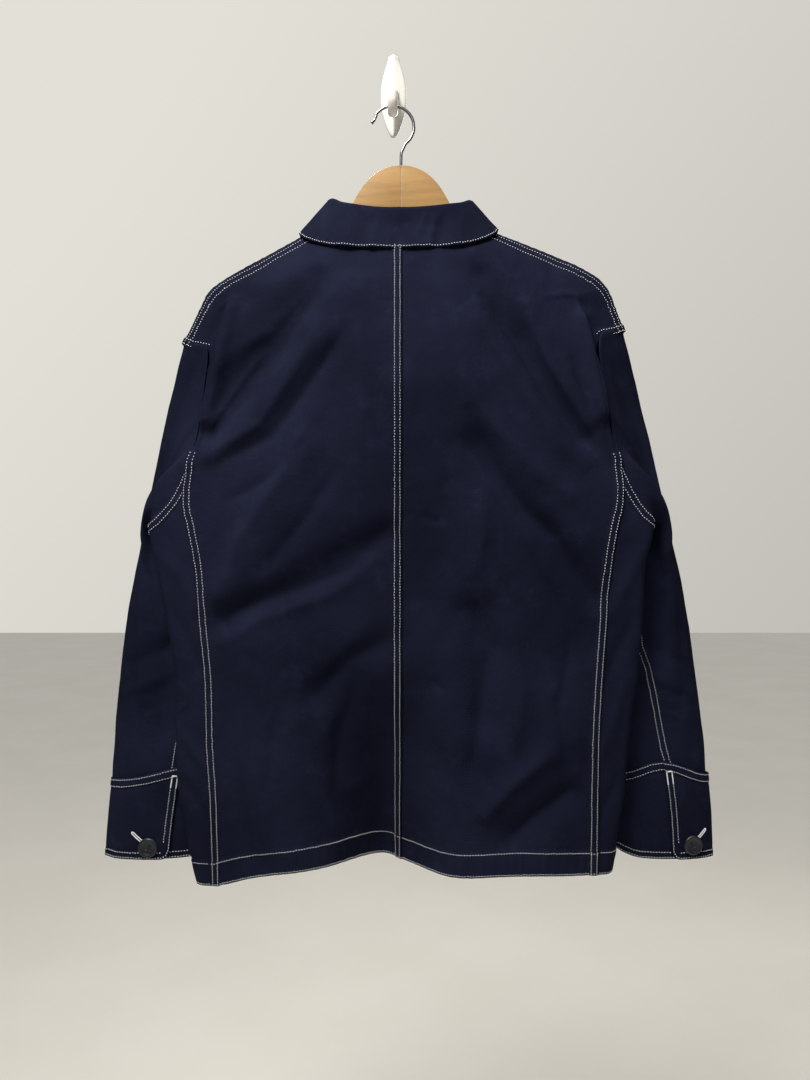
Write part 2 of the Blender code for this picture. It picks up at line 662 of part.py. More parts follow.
def sleeve_rows(cuff):
    """Rows of a sleeve, from its armhole down to the cuff seam."""
    side = cuff.side
    ring = armhole_ring(side)
    first_z = SLEEVE_RINGS[0].z
    rows = []
    for step in SLEEVE_HEAD_STEPS:
        row = []
        for start, angle in ring:
            start = Vector(start)
            inner = (1.0 - math.cos(angle)) / 2.0
            end = Vector(sleeve_place(side, angle, first_z - SLEEVE_RING_TILT * inner))
            span = (end - start).length
            leave = Vector((side.sign * leave_value("out", angle), leave_value("ahead", angle),
                            -leave_value("down", angle)))
            arrive = Vector((side.sign * 0.2, 0.0, -1.0))
            t = step
            point = (start * (2.0 * t ** 3 - 3.0 * t ** 2 + 1.0)
                     + leave * span * (t ** 3 - 2.0 * t ** 2 + t)
                     + end * (3.0 * t ** 2 - 2.0 * t ** 3)
                     + arrive * span * (t ** 3 - t ** 2))
            fold = fold_height(SLEEVE_FOLDS, point.x - CENTRE_X, point.z)
            point.y -= fold * math.sin(angle) * smooth(step * 2.0)
            row.append(tuple(point))
        rows.append(row)
    heights = [ring_row.z for ring_row in SLEEVE_RINGS[2:5]]
    for z in [*heights, None]:
        row = []
        for _, angle in ring:
            level = cuff_top(cuff, angle) if z is None else z
            x, y, level = sleeve_place(side, angle, level)
            if z is not None:
                y -= fold_height(SLEEVE_FOLDS, x - CENTRE_X, level) * math.sin(angle)
            row.append((x, y, level))
        rows.append(row)
    return rows


def cuff_grow(cuff, angle):
    """How far the cuff's band stands out where its upper end laps over the under end."""
    start = 360.0 + cuff.under_angle - CUFF_LAP_RAMP[0]
    return CUFF_STEP * smooth((angle - start) / CUFF_LAP_RAMP[1])


def cuff_rows(cuff):
    """Rows of a cuff's band, which goes once round and laps over its own start."""
    turn = 360.0 + cuff.upper_angle - cuff.under_angle
    rows = []
    for drop in (0.0, 0.33, 0.66, 1.0):
        row = []
        for i in range(CUFF_COLUMNS + 1):
            degrees = cuff.under_angle + turn * i / CUFF_COLUMNS
            angle = math.radians(degrees)
            top = cuff_top(cuff, angle)
            z = top + (CUFF_BOTTOM_Z - top) * drop
            row.append(sleeve_place(cuff.side, angle, z, cuff_grow(cuff, degrees)))
        rows.append(row)
    return rows


# ---------------------------------------------------------------- collar
def station_value(name, at):
    """One named column of the collar's table at a station."""
    return curve_value([row.place for row in COLLAR], [getattr(row, name) for row in COLLAR], at)


def neck_point(side, at):
    """World point of the neck line at a collar station."""
    if at <= 1.0:
        return place(side, *neck_back(side, at), -1)
    reach, z = neck_front(side, at - 1.0)
    return place(side, max(reach, COLLAR_END), z, 1)


def shoulder_height(side, reach):
    """Height of the shoulder line at a reach."""
    line = shoulder_line(side)[::-1]
    return curve_value([spot[0] for spot in line], [spot[1] for spot in line], reach)


def fall_edge(side, at):
    """World point of the collar's outer edge at a station, clear of what it lies on."""
    ridge = shoulder_height(side, COLLAR_SIDE_REACH)
    if at <= 1.0:
        angle = at * math.pi / 2.0
        reach = COLLAR_SIDE_REACH * math.sin(angle)
        z = COLLAR_BACK_Z + (ridge - COLLAR_BACK_Z) * (1.0 - math.cos(angle)) ** 1.2
        x, y, z = place(side, reach, z, -1)
        return (x, y - FALL_CLEAR * math.sqrt(math.cos(angle)), z + FALL_LIFT * math.sin(angle) ** 4)
    part = at - 1.0
    reach = COLLAR_SIDE_REACH + (COLLAR_POINT.reach - COLLAR_SIDE_REACH) * part ** 1.6
    z = ridge + (COLLAR_POINT.z - ridge) * part
    x, y, z = place(side, reach, z, 1)
    return (x, y + FALL_CLEAR * smooth(part * 8.0), z + FALL_LIFT * (1.0 - smooth(part * 6.0)))


def collar_frame(side, at):
    """Directions at a collar station: square up from the neck line, and in towards the neck."""
    first = Vector(neck_point(side, max(at - 0.02, 0.0)))
    along = (Vector(neck_point(side, min(at + 0.02, 2.0))) - first).normalized()
    if at > 1.95:
        along = Vector((1.0, 0.0, 0.0))
    up = Vector((0.0, 0.0, 1.0))
    rise = (up - along * up.dot(along)).normalized()
    inward = along.cross(rise)
    centre = Vector((CENTRE_X, SHOULDER_Y, first.z)) - first
    return rise, inward if inward.dot(centre) > 0.0 else -inward


def clear_point(side, point, facing):
    """A point of the collar's fall, moved out where it would be too near the body."""
    reach = side.sign * (point.x - CENTRE_X)
    if reach < neck_reach(side) * 0.2 or point.z > shoulder_height(side, max(reach, neck_reach(side))):
        return point
    nearest = sheet_depth(side, reach, point.z, facing) + facing * FALL_CLEAR
    return Vector((point.x, facing * max(facing * point.y, facing * nearest), point.z))


def collar_row(side, at):
    """Points of the collar's section at a station: up the stand, over the roll, down the fall."""
    rise, inward = collar_frame(side, at)
    foot = Vector(neck_point(side, at)) + rise * STAND_GAP
    edge = Vector(fall_edge(side, at))
    crest = foot + rise * station_value("rise", at) + inward * station_value("lean", at)
    stem = (crest - foot).normalized()
    under = crest - stem * ROLL
    over = under - inward * 2.0 * ROLL
    facing = -1 if at < 1.0 else 1
    fall = [clear_point(side, over.lerp(edge, part), facing) for part in (0.33, 0.66)]
    return [tuple(point) for point in (
        foot, foot.lerp(under, 0.5), under, crest - inward * ROLL * 0.9, over, *fall, edge)]


def collar_rows():
    """Rows of the whole collar, from the left front over the back to the right front."""
    stations = [1.0 + part for part in reversed(NECK_FRONT_STEPS)]
    stations += reversed(NECK_BACK_STEPS[1:-1])
    rows = [collar_row(LEFT, at) for at in stations]
    rows.append(collar_row(LEFT, 0.0))
    rows += [collar_row(RIGHT, at) for at in reversed(stations)]
    return rows


# ---------------------------------------------------------------- hard pieces
def add_button(group, name, seat, normal, material):
    """Round button with a raised rim and a dish, turned about its axis."""
    radius, height = BUTTON_RADIUS, BUTTON_HEIGHT
    profile = ((0.0, height - 1.3), (radius - 4.0, height - 1.3), (radius - 2.4, height),
               (radius - 0.9, height), (radius, height - 1.0), (radius - 0.8, 0.0), (0.0, 0.0))
    data = bpy.data.meshes.new(name)
    points = [(x * MM, 0.0, z * MM) for x, z in profile]
    data.from_pydata(points, [(i, i + 1) for i in range(len(points) - 1)], [])
    item = add_object(group, name, data, material)
    turned = item.modifiers.new("turn", "SCREW")
    turned.steps = 16
    turned.render_steps = 16
    turned.use_merge_vertices = True
    turned.merge_threshold = 0.00001
    item.rotation_euler = Vector(normal).to_track_quat("Z", "X").to_euler()
    item.location = (Vector(seat) + Vector(normal) * SEAM_GAP) * MM
    return item


def wing_outline(side):
    """Outline of one wing of the hanger, in X and Z."""
    below = (CLOTH + SEAM_GAP + 1.2) / math.cos(math.radians(30.0))
    end = 203.0 if side is LEFT else 220.0
    top = [(STEM_X - CENTRE_X, DOME_TOP_Z), (22.0, -110.0), (36.0, -124.0), (50.0, -143.0),
           (64.0, -160.0)]
    if side is LEFT:
        top = [(-(STEM_X - CENTRE_X), DOME_TOP_Z)] + top[1:]
    reaches = [neck_reach(side) + (end - neck_reach(side)) * part for part in (0, 0.25, 0.5, 0.75, 0.95)]
    top += [(reach, shoulder_height(side, reach) - below * (1.0 + 0.8 * (reach / end) ** 6))
            for reach in reaches]
    tip_z = top[-1][1]
    outer = [(end + 2.0, tip_z - 6.0), (end + 1.0, tip_z - 14.0), (end - 7.0, tip_z - 19.0)]
    bottom = [(reach, shoulder_height(side, reach) - 27.0) for reach in reaches[3:0:-1]]
    bottom += [(70.0, -186.0), (40.0, -156.0), (20.0, -140.0), (top[0][0], -136.0)]
    start_x = STEM_X + side.sign * SEAM_GAP / 2.0
    outline = []
    for reach, z in [*top, *outer, *bottom]:
        x = CENTRE_X + side.sign * reach
        outline.append((start_x if abs(x - STEM_X) < 1.0 else x, z))
    return outline


def add_hanger(group, wood, metal):
    """Two wooden wings and the wire hook that stands on their joint."""
    for side in (LEFT, RIGHT):
        wing = outline_solid(group, f"hanger_wing_{side.name}", wing_outline(side), WOOD_HALF, 3.4, wood)
        wing.location.y = SHOULDER_Y * MM
    centre_x, centre_z = WIRE_LOOP_CENTRE
    stem = [(STEM_X, DOME_TOP_Z - 0.1), (STEM_X, -96.0), (STEM_X + 0.3, -91.0),
            (STEM_X + 2.2, -86.0)]
    loop = []
    for i in range(22):
        angle = math.radians(-52.0 + (172.0 + 52.0) * i / 21.0)
        loop.append((centre_x + WIRE_LOOP_RADIUS * math.cos(angle),
                     centre_z + WIRE_LOOP_RADIUS * math.sin(angle)))
    route = [(x, SHOULDER_Y, z) for x, z in [*stem, *loop]]
    return wire_solid(group, "hanger_hook", route, WIRE_RADIUS, metal)


PLATE_HALF_WIDTH = 15.5
PLATE_TOP_Z = 44.0
PLATE_BOTTOM_Z = -51.0
PLATE_DEPTH = 5.0
ARM_RADIUS = 4.5
ARM_WIDEN = 1.3


def plate_outline():
    """Outline of the wall hook's plate: a long leaf with a blunt point at each end."""
    count = 12
    right = []
    for i in range(count + 1):
        part = i / count
        z = PLATE_TOP_Z + (PLATE_BOTTOM_Z - PLATE_TOP_Z) * part
        right.append((max(PLATE_HALF_WIDTH * math.sin(math.pi * part) ** 0.75, 1.0), z))
    return right + [(-x, z) for x, z in reversed(right)]


def arm_route():
    """Middle line of the wall hook's arm, in Y and Z: out, down under the wire, and up again."""
    cradle_radius = 11.4
    wire_low = WIRE_LOOP_CENTRE[1] + WIRE_LOOP_RADIUS - WIRE_RADIUS
    centre_z = wire_low - SEAM_GAP - ARM_RADIUS + cradle_radius
    route = [(-3.0, 2.0), (-14.0, -8.0), (-26.0, -22.0)]
    for degrees in (205, 225, 250, 270, 290, 315, 340, 360):
        angle = math.radians(degrees)
        route.append((SHOULDER_Y - cradle_radius * math.cos(angle),
                      centre_z + cradle_radius * math.sin(angle)))
    route.append((SHOULDER_Y - cradle_radius - 1.0, centre_z + 9.0))
    return route


def add_wall_hook(group, cutters, white):
    """Wall hook: a leaf-shaped plate and a J-shaped arm, one moulded piece."""
    plate = outline_solid(group, "wall_hook", plate_outline(), PLATE_DEPTH / 2.0, 1.5, white)
    plate.location.y = -PLATE_DEPTH / 2.0 * MM
    route = [(0.0, y, z) for y, z in arm_route()]
    wire = wire_solid(cutters, "arm_wire", route, ARM_RADIUS, white)
    wire.data.bevel_resolution = 3
    wire.scale.x = ARM_WIDEN
    bpy.context.view_layer.update()
    made = []
    for item, name, home in ((wire, "wall_hook_arm", cutters), (plate, "wall_hook", group)):
        source = item.evaluated_get(bpy.context.evaluated_depsgraph_get())
        data = bpy.data.meshes.new_from_object(source)
        body = bmesh.new()
        body.from_mesh(data)
        bmesh.ops.remove_doubles(body, verts=body.verts, dist=0.00001)
        body.to_mesh(data)
        body.free()
        matrix = item.matrix_world.copy()
        bpy.data.objects.remove(item)
        solid = bpy.data.objects.new(name, data)
        home.objects.link(solid)
        solid.matrix_world = matrix
        made.append(solid)
    arm, body = made
    arm.hide_render = True
    arm.display_type = "WIRE"
    join = body.modifiers.new("arm", "BOOLEAN")
    join.operation = "UNION"
    join.solver = "EXACT"
    join.object = arm
    return body


# ---------------------------------------------------------------- the whole object
def main():
    """Build every piece of the jacket, its hanger and its hook."""
    group, cutters = make_collections()
    navy = make_material("navy_twill", (0.011, 0.014, 0.026), 0.85)
    button_black = make_material("navy_button", (0.008, 0.009, 0.016), 0.5)
    wood = make_material("beech", (0.56, 0.36, 0.16), 0.45)
    metal = make_material("plated_wire", (0.6, 0.6, 0.6), 0.25, 1.0)
    white = make_material("white_moulding", (0.8, 0.79, 0.77), 0.3)

    for side in (LEFT, RIGHT):
        cloth_sheet(group, f"back_{side.name}", [back_rows(side)], CLOTH, navy, side is RIGHT, BODY_PULL)
        blocks = [front_upper_rows(side), front_lower_rows(side)]
        cloth_sheet(group, f"front_{side.name}", blocks, CLOTH, navy, side is RIGHT, BODY_PULL)
    for cuff in CUFFS:
        side = cuff.side
        cloth_sheet(group, f"sleeve_{side.name}", [sleeve_rows(cuff)], CLOTH, navy, side is LEFT,
                    SLEEVE_PULL)
        cloth_sheet(group, f"cuff_{side.name}", [cuff_rows(cuff)], CUFF_WALL, navy, side is LEFT,
                    SEAM_GAP / 2.0)
        angle = math.radians(cuff.button_angle)
        seat = sleeve_place(side, angle, cuff.button_z, CUFF_STEP)
        half = column(SLEEVE_RINGS, "width", cuff.button_z) / 2.0
        depth = column(SLEEVE_RINGS, "depth", cuff.button_z)
        normal = Vector((side.sign * math.cos(angle) / half, -math.sin(angle) / depth, 0.0)).normalized()
        add_button(group, f"cuff_button_{side.name}", seat, normal, button_black)
    cloth_sheet(group, "collar", [collar_rows()], COLLAR_WALL, navy, False, 0.1, centred=True)
    for i in range(FRONT_BUTTON_COUNT):
        z = FRONT_BUTTON_TOP_Z - i * FRONT_BUTTON_PITCH
        add_button(group, f"front_button_{i + 1}", place(LEFT, 0.0, z, 1), (0.0, 1.0, 0.0), button_black)
    add_hanger(group, wood, metal)
    add_wall_hook(group, cutters, white)


main()
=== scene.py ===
"""Looks of a navy cotton-twill chore jacket on a wooden hanger and a white wall hook.

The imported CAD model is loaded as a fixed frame.  Each cloth panel is replaced by a thin shell on
the same form with its folds, felled seams and hems, and the sewing is laid on it stitch by stitch.

Tables are in millimetres.  A place on the cloth is given by its side, its reach (the distance out
from the centre line) and its height z.  Finished meshes are in metres, in the frame of the CAD.
"""
from __future__ import annotations

import logging
import math
import sys
from dataclasses import dataclass, field
from typing import NamedTuple, Sequence

import bmesh
import bpy
import numpy as np
from mathutils import Matrix, Vector
from mathutils.bvhtree import BVHTree

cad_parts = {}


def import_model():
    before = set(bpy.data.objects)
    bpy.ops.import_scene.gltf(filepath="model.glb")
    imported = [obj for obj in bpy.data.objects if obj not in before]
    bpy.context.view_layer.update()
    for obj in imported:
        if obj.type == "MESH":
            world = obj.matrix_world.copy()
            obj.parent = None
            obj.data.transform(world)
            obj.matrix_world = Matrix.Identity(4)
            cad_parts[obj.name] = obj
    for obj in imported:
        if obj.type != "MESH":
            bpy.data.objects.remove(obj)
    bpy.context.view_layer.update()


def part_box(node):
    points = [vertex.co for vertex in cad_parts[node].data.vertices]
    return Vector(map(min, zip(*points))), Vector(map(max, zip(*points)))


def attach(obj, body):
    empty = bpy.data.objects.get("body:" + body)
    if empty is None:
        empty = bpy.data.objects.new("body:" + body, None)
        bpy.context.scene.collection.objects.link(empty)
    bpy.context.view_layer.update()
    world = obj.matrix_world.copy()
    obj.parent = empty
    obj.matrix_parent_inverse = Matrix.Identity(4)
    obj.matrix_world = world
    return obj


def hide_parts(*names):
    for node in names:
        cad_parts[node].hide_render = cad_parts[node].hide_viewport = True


LOG = logging.getLogger("chore_jacket")
MM = 0.001

# ------------------------------------------------------------------ sizes shared with the CAD, mm
CENTRE_X = 6.5
SHOULDER_Y = -48.0
TURN_DEPTH = 9.0
TURN_POWER = 2.2
NECK_BACK_Z = -200.0
NECK_FRONT_Z = -275.0
FRONT_LAP = 16.0
LAP_STEP = 2.4
LAP_RAMP = (34.0, 17.5)
FRONT_HEM_Z = -882.0
VALLEY_X = -12.5
VALLEY_HALF_WIDTH = 50.0
VALLEY_DEPTH = 66.0
VALLEY_TOP_Z = -600.0
VALLEY_FULL_Z = -880.0
CUFF_BOTTOM_Z = -880.0


class Section(NamedTuple):
    """Level section of the body: reaches of the sides, depths, width of the side turn, fullness."""

    z: float
    left: float
    right: float
    side: float
    back: float
    front: float
    turn: float
    full_back: float
    full_front: float


SECTIONS = (
    Section(-165, 70.5, 61.0, -48, -82, -24, 14, 0.85, 0.80),
    Section(-188, 110.5, 120.5, -48, -89, -20, 14, 0.85, 0.80),
    Section(-206, 142.5, 167.5, -48, -93, -18, 14, 0.85, 0.80),
    Section(-222, 171.5, 203.5, -48, -96, -17, 14, 0.85, 0.90),
    Section(-236, 196.5, 225.5, -48, -98, -16, 12, 0.85, 1.00),
    Section(-246, 210.0, 233.0, -48, -100, -16, 10, 0.85, 1.10),
    Section(-260, 219.5, 239.5, -48, -102, -15, 9, 0.85, 1.20),
    Section(-275, 226.5, 245.0, -49, -104, -15, 8, 0.85, 1.30),
    Section(-291, 233.0, 251.5, -50, -106, -14, 8, 0.85, 1.40),
    Section(-305, 240.5, 254.5, -51, -107, -14, 8, 0.85, 1.50),
    Section(-400, 256.5, 264.5, -60, -108, -13, 8, 0.80, 2.20),
    Section(-507, 272.5, 279.5, -68, -104, -12, 8, 0.75, 2.60),
    Section(-550, 265.5, 270.5, -68, -102, -12, 8, 0.75, 2.60),
    Section(-600, 255.5, 267.5, -68, -100, -12, 8, 0.70, 2.60),
    Section(-640, 249.5, 264.5, -67, -99, -12, 8, 0.70, 2.60),
    Section(-675, 244.0, 261.5, -66, -98, -12, 8, 0.70, 2.60),
    Section(-725, 245.5, 254.5, -62, -97, -12, 8, 0.65, 2.50),
    Section(-790, 243.5, 249.5, -58, -95, -12, 8, 0.60, 2.20),
    Section(-850, 234.5, 241.5, -54, -92, -12, 8, 0.55, 1.60),
    Section(-905, 222.5, 232.5, -50, -90, -12, 8, 0.55, 1.20),
)


class Seam(NamedTuple):
    """Reach of each side seam, which lies on the back, at one height."""

    z: float
    left: float
    right: float


SIDE_SEAM = (
    Seam(-438, 227.5, 239.5), Seam(-483, 227.5, 237.5), Seam(-509, 222.5, 231.5),
    Seam(-540, 216.5, 226.5), Seam(-571, 212.5, 223.0), Seam(-610, 210.5, 220.0),
    Seam(-675, 205.0, 215.5), Seam(-740, 204.0, 213.0), Seam(-808, 200.5, 212.5),
    Seam(-905, 199.0, 212.5),
)

# Hem of the back: x counted from the centre line, negative on the left, and z.
BACK_HEM = (
    (-223, -901), (-201, -899), (-157, -887), (-117, -880), (-66, -876), (-16, -880), (4, -885),
    (54, -886), (114, -883), (184, -886), (233, -888),
)


class Side(NamedTuple):
    """One side of the wearer, with the places of its armhole as (reach, z)."""

    name: str
    sign: int
    neck_z: float
    tip_z: float
    seam_z: float
    underarm_z: float
    arm_back: tuple
    arm_under: tuple
    arm_bottom: tuple
    arm_front: tuple


LEFT = Side(
    "left", -1, -173.0, -305.0, -441.0, -507.0,
    ((229, -311), (211, -316), (210, -330), (213.5, -361), (218, -398)),
    ((235, -462), (245.5, -480.5), (259, -495.5)),
    ((263, -515), (246, -520), (226, -517), (206, -500)),
    ((221, -330), (203, -370), (194, -415), (194, -460), (206, -500)),
)
RIGHT = Side(
    "right", 1, -176.0, -291.0, -438.0, -501.0,
    ((240, -296), (224, -301), (221, -318), (226.5, -358), (231.5, -390)),
    ((246.5, -457), (255.5, -473.5), (266.5, -489)),
    ((270, -509), (253, -514), (233, -511), (213, -494)),
    ((233, -320), (213, -362), (203, -408), (202, -454), (213, -494)),
)


class Fold(NamedTuple):
    """Broad soft fold of the CAD form: a ridge (+) or trough (-) along a straight run."""

    x0: float
    z0: float
    x1: float
    z1: float
    width: float
    height: float


BACK_FOLDS = (
    Fold(-114, -236, -190, -322, 20, 5), Fold(-84, -246, -200, -408, 15, -6),
    Fold(-78, -306, -196, -428, 18, 6), Fold(-99, -424, -186, -580, 20, 6),
    Fold(-12, -515, -186, -606, 15, -6), Fold(-10, -628, -84, -686, 18, -5),
    Fold(-150, -640, -128, -850, 22, 5), Fold(-182, -272, -204, -392, 10, 9),
    Fold(91, -242, 200, -410, 15, -6), Fold(140, -276, 204, -392, 16, 4),
    Fold(82, -424, 208, -580, 17, -6), Fold(80, -478, 82, -566, 26, 5),
    Fold(81, -600, 94, -710, 24, -7), Fold(157, -755, 97, -812, 20, 6),
    Fold(184, -797, 127, -837, 17, -5), Fold(203, -282, 221, -386, 10, 9),
)
FRONT_FOLDS = (
    Fold(-130, -330, -60, -470, 20, -4), Fold(134, -340, 70, -480, 20, -4),
    Fold(-120, -560, -104, -830, 24, 5), Fold(128, -580, 110, -840, 24, 5),
    Fold(-52, -520, -66, -720, 18, -4), Fold(60, -560, 58, -760, 18, -4),
)
SLEEVE_FOLDS = (
    Fold(-262, -430, -284, -560, 9, -4), Fold(-290, -560, -282, -700, 10, 4),
    Fold(-252, -640, -268, -770, 10, -4), Fold(268, -420, 296, -560, 9, -4),
    Fold(306, -560, 300, -700, 10, 4), Fold(276, -640, 300, -770, 10, -4),
)


class SleeveRing(NamedTuple):
    """Level ring of the sleeves: outer reaches, width, depth of its middle, half thickness."""

    z: float
    left: float
    right: float
    width: float
    middle: float
    depth: float


SLEEVE_RINGS = (
    SleeveRing(-560, 300.0, 319.5, 108, -29, 22), SleeveRing(-600, 308.0, 326.5, 118, -29, 22),
    SleeveRing(-637, 312.0, 332.5, 124, -29, 21), SleeveRing(-684, 317.5, 339.5, 126, -29, 20),
    SleeveRing(-740, 322.5, 346.5, 121, -29, 19), SleeveRing(-786, 326.0, 349.5, 112, -28, 18),
    SleeveRing(-835, 330.5, 353.5, 108, -28, 17), SleeveRing(-881, 334.5, 355.5, 106, -28, 16),
)
SLEEVE_RING_TILT = 20.0
RUN_ANGLES = (0.0, 28.5, 61.5, 172.0, 360.0)


class Leave(NamedTuple):
    """Direction in which the sleeve leaves the armhole at an angle round it."""

    angle: float
    out: float
    ahead: float
    down: float


SLEEVE_LEAVE = (
    Leave(0, 0.25, 0.20, 0.95), Leave(25, 0.77, 0.59, 0.47), Leave(28.5, 1.19, 0.23, 0.14),
    Leave(45, 1.70, 0.60, -0.12), Leave(61.5, 0.46, 1.66, -0.52), Leave(100, -0.18, 0.77, 0.49),
    Leave(172, 0.68, 0.67, 0.26), Leave(270, 0.40, 0.70, 0.45), Leave(330, 0.40, 0.40, 0.80),
    Leave(360, 0.25, 0.20, 0.95),
)


class CuffPlan(NamedTuple):
    """A cuff and the sleeve above it; angles are in degrees round the sleeve.

    Attributes:
        top_z: Height of the seam between sleeve and cuff.
        tilt: How far that seam slopes.
        peak: How far it rises over the cuff's opening.
        under_angle: Where the lower end of the band lies.
        upper_angle: Where the upper end lies, which laps over the lower one.
        button_angle: Where the button sits, with its height button_z.
        seam: Middle of the sleeve's seam, as (angle, z), from the armhole down to the cuff.
    """

    side: Side
    top_z: float
    tilt: float
    peak: float
    under_angle: float
    upper_angle: float
    button_angle: float
    button_z: float
    seam: tuple


CUFFS = (
    CuffPlan(LEFT, -786, 7, 6.5, 78, 115, 90, -866,
             ((161, -440), (143, -560), (121, -680), (107, -747), (109, -800))),
    CuffPlan(RIGHT, -786, 1, 15.5, 46, 86, 61, -864,
             ((143, -440), (113, -560), (91, -635), (84, -696), (82.5, -768), (79, -800))),
)
CUFF_LAP_RAMP = (50.0, 24.0)
CUFF_STEP = 2.9
CUFF_PEAK_WIDTH = 0.6     # half width of the peak, in radians
CUFF_LIFT = 7.0           # the right cuff's edge rises this much on its inner side
CUFF_LIFT_ANGLE = 62.0    # and it is level again this many degrees away


class Station(NamedTuple):
    """Collar station, from the centre back (0) over the shoulder (1) to the centre front (2)."""

    place: float
    rise: float
    lean: float


COLLAR = (
    Station(0.0, 34, 6), Station(0.5, 32, 9), Station(1.0, 25, 14), Station(1.5, 15, 4),
    Station(2.0, 11, 1),
)
COLLAR_BACK_Z = -213.0
COLLAR_SIDE_REACH = 110.0
COLLAR_POINT = (70.0, -338.0)
COLLAR_END = 10.0
ROLL = 3.2
FALL_CLEAR = 2.6
FALL_LIFT = 4.8
STAND_GAP = 1.4
SHOULDER_STEPS = (0.0, 0.09, 0.2, 0.32, 0.45, 0.6, 0.74, 0.87, 1.0)
BACK_DROPS = (0.0, 0.0017, 0.005, 0.010, 0.022, 0.045, 0.08, 0.12, 0.165, 0.21, 0.26)
BACK_ARM_STEPS = (0.0, 0.006, 0.03, 0.12, 0.19, 0.27, 0.38, 0.52, 0.68, 0.84, 1.0)
FRONT_DROPS = (0.0, 0.0035, 0.01, 0.025, 0.05, 0.10, 0.2, 0.35, 0.52, 0.72, 1.0)
FRONT_ARM_STEPS = (0.0, 0.007, 0.03, 0.10, 0.17, 0.27, 0.39, 0.52, 0.67, 0.83, 1.0)
NECK_FRONT_PARTS = (0.0, 0.012, 0.04, 0.12, 0.28, 0.46, 0.63, 0.77, 0.87, 1.0)
FOOT_PARTS = (0.0, 0.035, 0.08, 0.13, 0.18, 0.23, 0.28, 0.33, 0.38, 0.43, 0.48, 0.53, 0.58, 0.63,
              0.68, 0.73, 0.78, 0.825, 0.87, 0.91, 0.95, 1.0)

# ------------------------------------------------------------------ how finely the cloth is gridded
BACK_NECK_COLUMNS = 36
BACK_SHOULDER_COLUMNS = 62
BACK_ROWS = 296
BACK_ARM_ROWS = 106       # those of them that end on the armhole
FRONT_COLUMNS = 64
FRONT_UPPER_ROWS = 70
FRONT_LOWER_ROWS = 160
STRIP_COLUMNS = 22        # across the strip that wraps to the back
BOTTOM_COLUMNS = 14       # across the bottom of the armhole
LAP_COLUMNS = 6           # past the centre line
SHOULDER_SHARE = 0.47     # share of a front's columns that end on the shoulder seam
SLEEVE_HEAD_ROWS = 64
SLEEVE_ROWS = 116
HEAD_EASE = 1.15          # the head's rows lie closer together near the armhole
FADE_FROM = 0.72          # share of the way down at which the sleeve's broad folds start to fade
CUFF_COLUMNS = 200
CUFF_ROWS = 56
COLLAR_STATIONS = 110     # on each half
STAND_POINTS = 12         # across the collar: up its stand, round its roll and down its fall
ROLL_POINTS = 9
FALL_POINTS = 34
FALL_KNOTS = (0.0, 0.33, 0.66, 1.0)

# ------------------------------------------------------------------ faint unevenness of the cloth
BACK_SEED, FRONT_SEED, SLEEVE_SEED, CUFF_SEED, COLLAR_SEED = 11, 23, 37, 53, 71
CALM = 16.0               # the unevenness dies out over this distance beside an edge
FACE_FROM_Y = -70.0       # the fronts' own creases begin here, and are full a little further on
FACE_OVER = 30.0
SLEEVE_RADIUS = 60.0      # rough half width of a sleeve
DEGREE = 0.8              # the sleeves' creases are laid as if a degree were this wide
SLEEVES_APART = 400.0     # so that the two sleeves don't wrinkle alike

# ------------------------------------------------------------------ sizes of the sewing, mm
CLOTH = 1.1               # one layer of twill; the collar is two
CUFF_CLOTH = 1.7
CENTRE_LAP = 3.9          # the left back passes the centre line and lies on the right back
CENTRE_TUCK = 3.0         # the right back runs on beneath it
SIDE_LAP = 3.5            # the backs lie on the fronts by this much past the side seam
SIDE_TUCK = 4.0           # the fronts run on beneath them
SLEEVE_TUCK = ((5.0, 2.6), (2.5, 2.2))
SLEEVE_SINK = 1.7         # the sleeve starts this far beneath the armhole's edge
CUFF_TUCK = 8.0
CUFF_CORNER = 9.0
FELL_WIDTH = 9.5          # a felled seam's band
FELL_HEIGHT = 1.5
ROW_NEAR = 1.6            # the two rows of stitches, from the band's folded edge
ROW_FAR = 8.0
EDGE_ROW = 1.8            # a single row, from an edge
HEM_WIDTH = 27.0
HEM_ROWS = (EDGE_ROW, HEM_WIDTH - 2.0)
PLACKET_WIDTH = 30.0
TIP_ROWS = (0.9, 7.0)     # round the tip of the shoulder
SHOULDER_ROWS = ((12.5, 4.0), (22.0, 10.5))  # at the neck and at the tip, from the seen ridge
SEAM_ROW = 3.1            # each way from the middle of a sleeve's seam
CUFF_SEAM_ROWS = (1.7, 8.9)  # under the seam over the cuff; the first also follows its edge
CUFF_FAR_ROW = 7.4
VENT_ROWS = (1.7, 7.6)
COLLAR_ROW = 2.0
STITCH_PITCH = 3.05
STITCH_LENGTH = 1.4
THREAD = 0.41             # half of the thread's width
ARM_ROWS_FROM_Z = -426.0  # above this the fold hides the back armhole's rows


# ------------------------------------------------------------------ the form of the garment
def smooth(value: np.ndarray | float) -> np.ndarray:
    """Ease from 0 to 1 as the value goes from 0 to 1."""
    value = np.clip(value, 0.0, 1.0)
    return value * value * (3.0 - 2.0 * value)


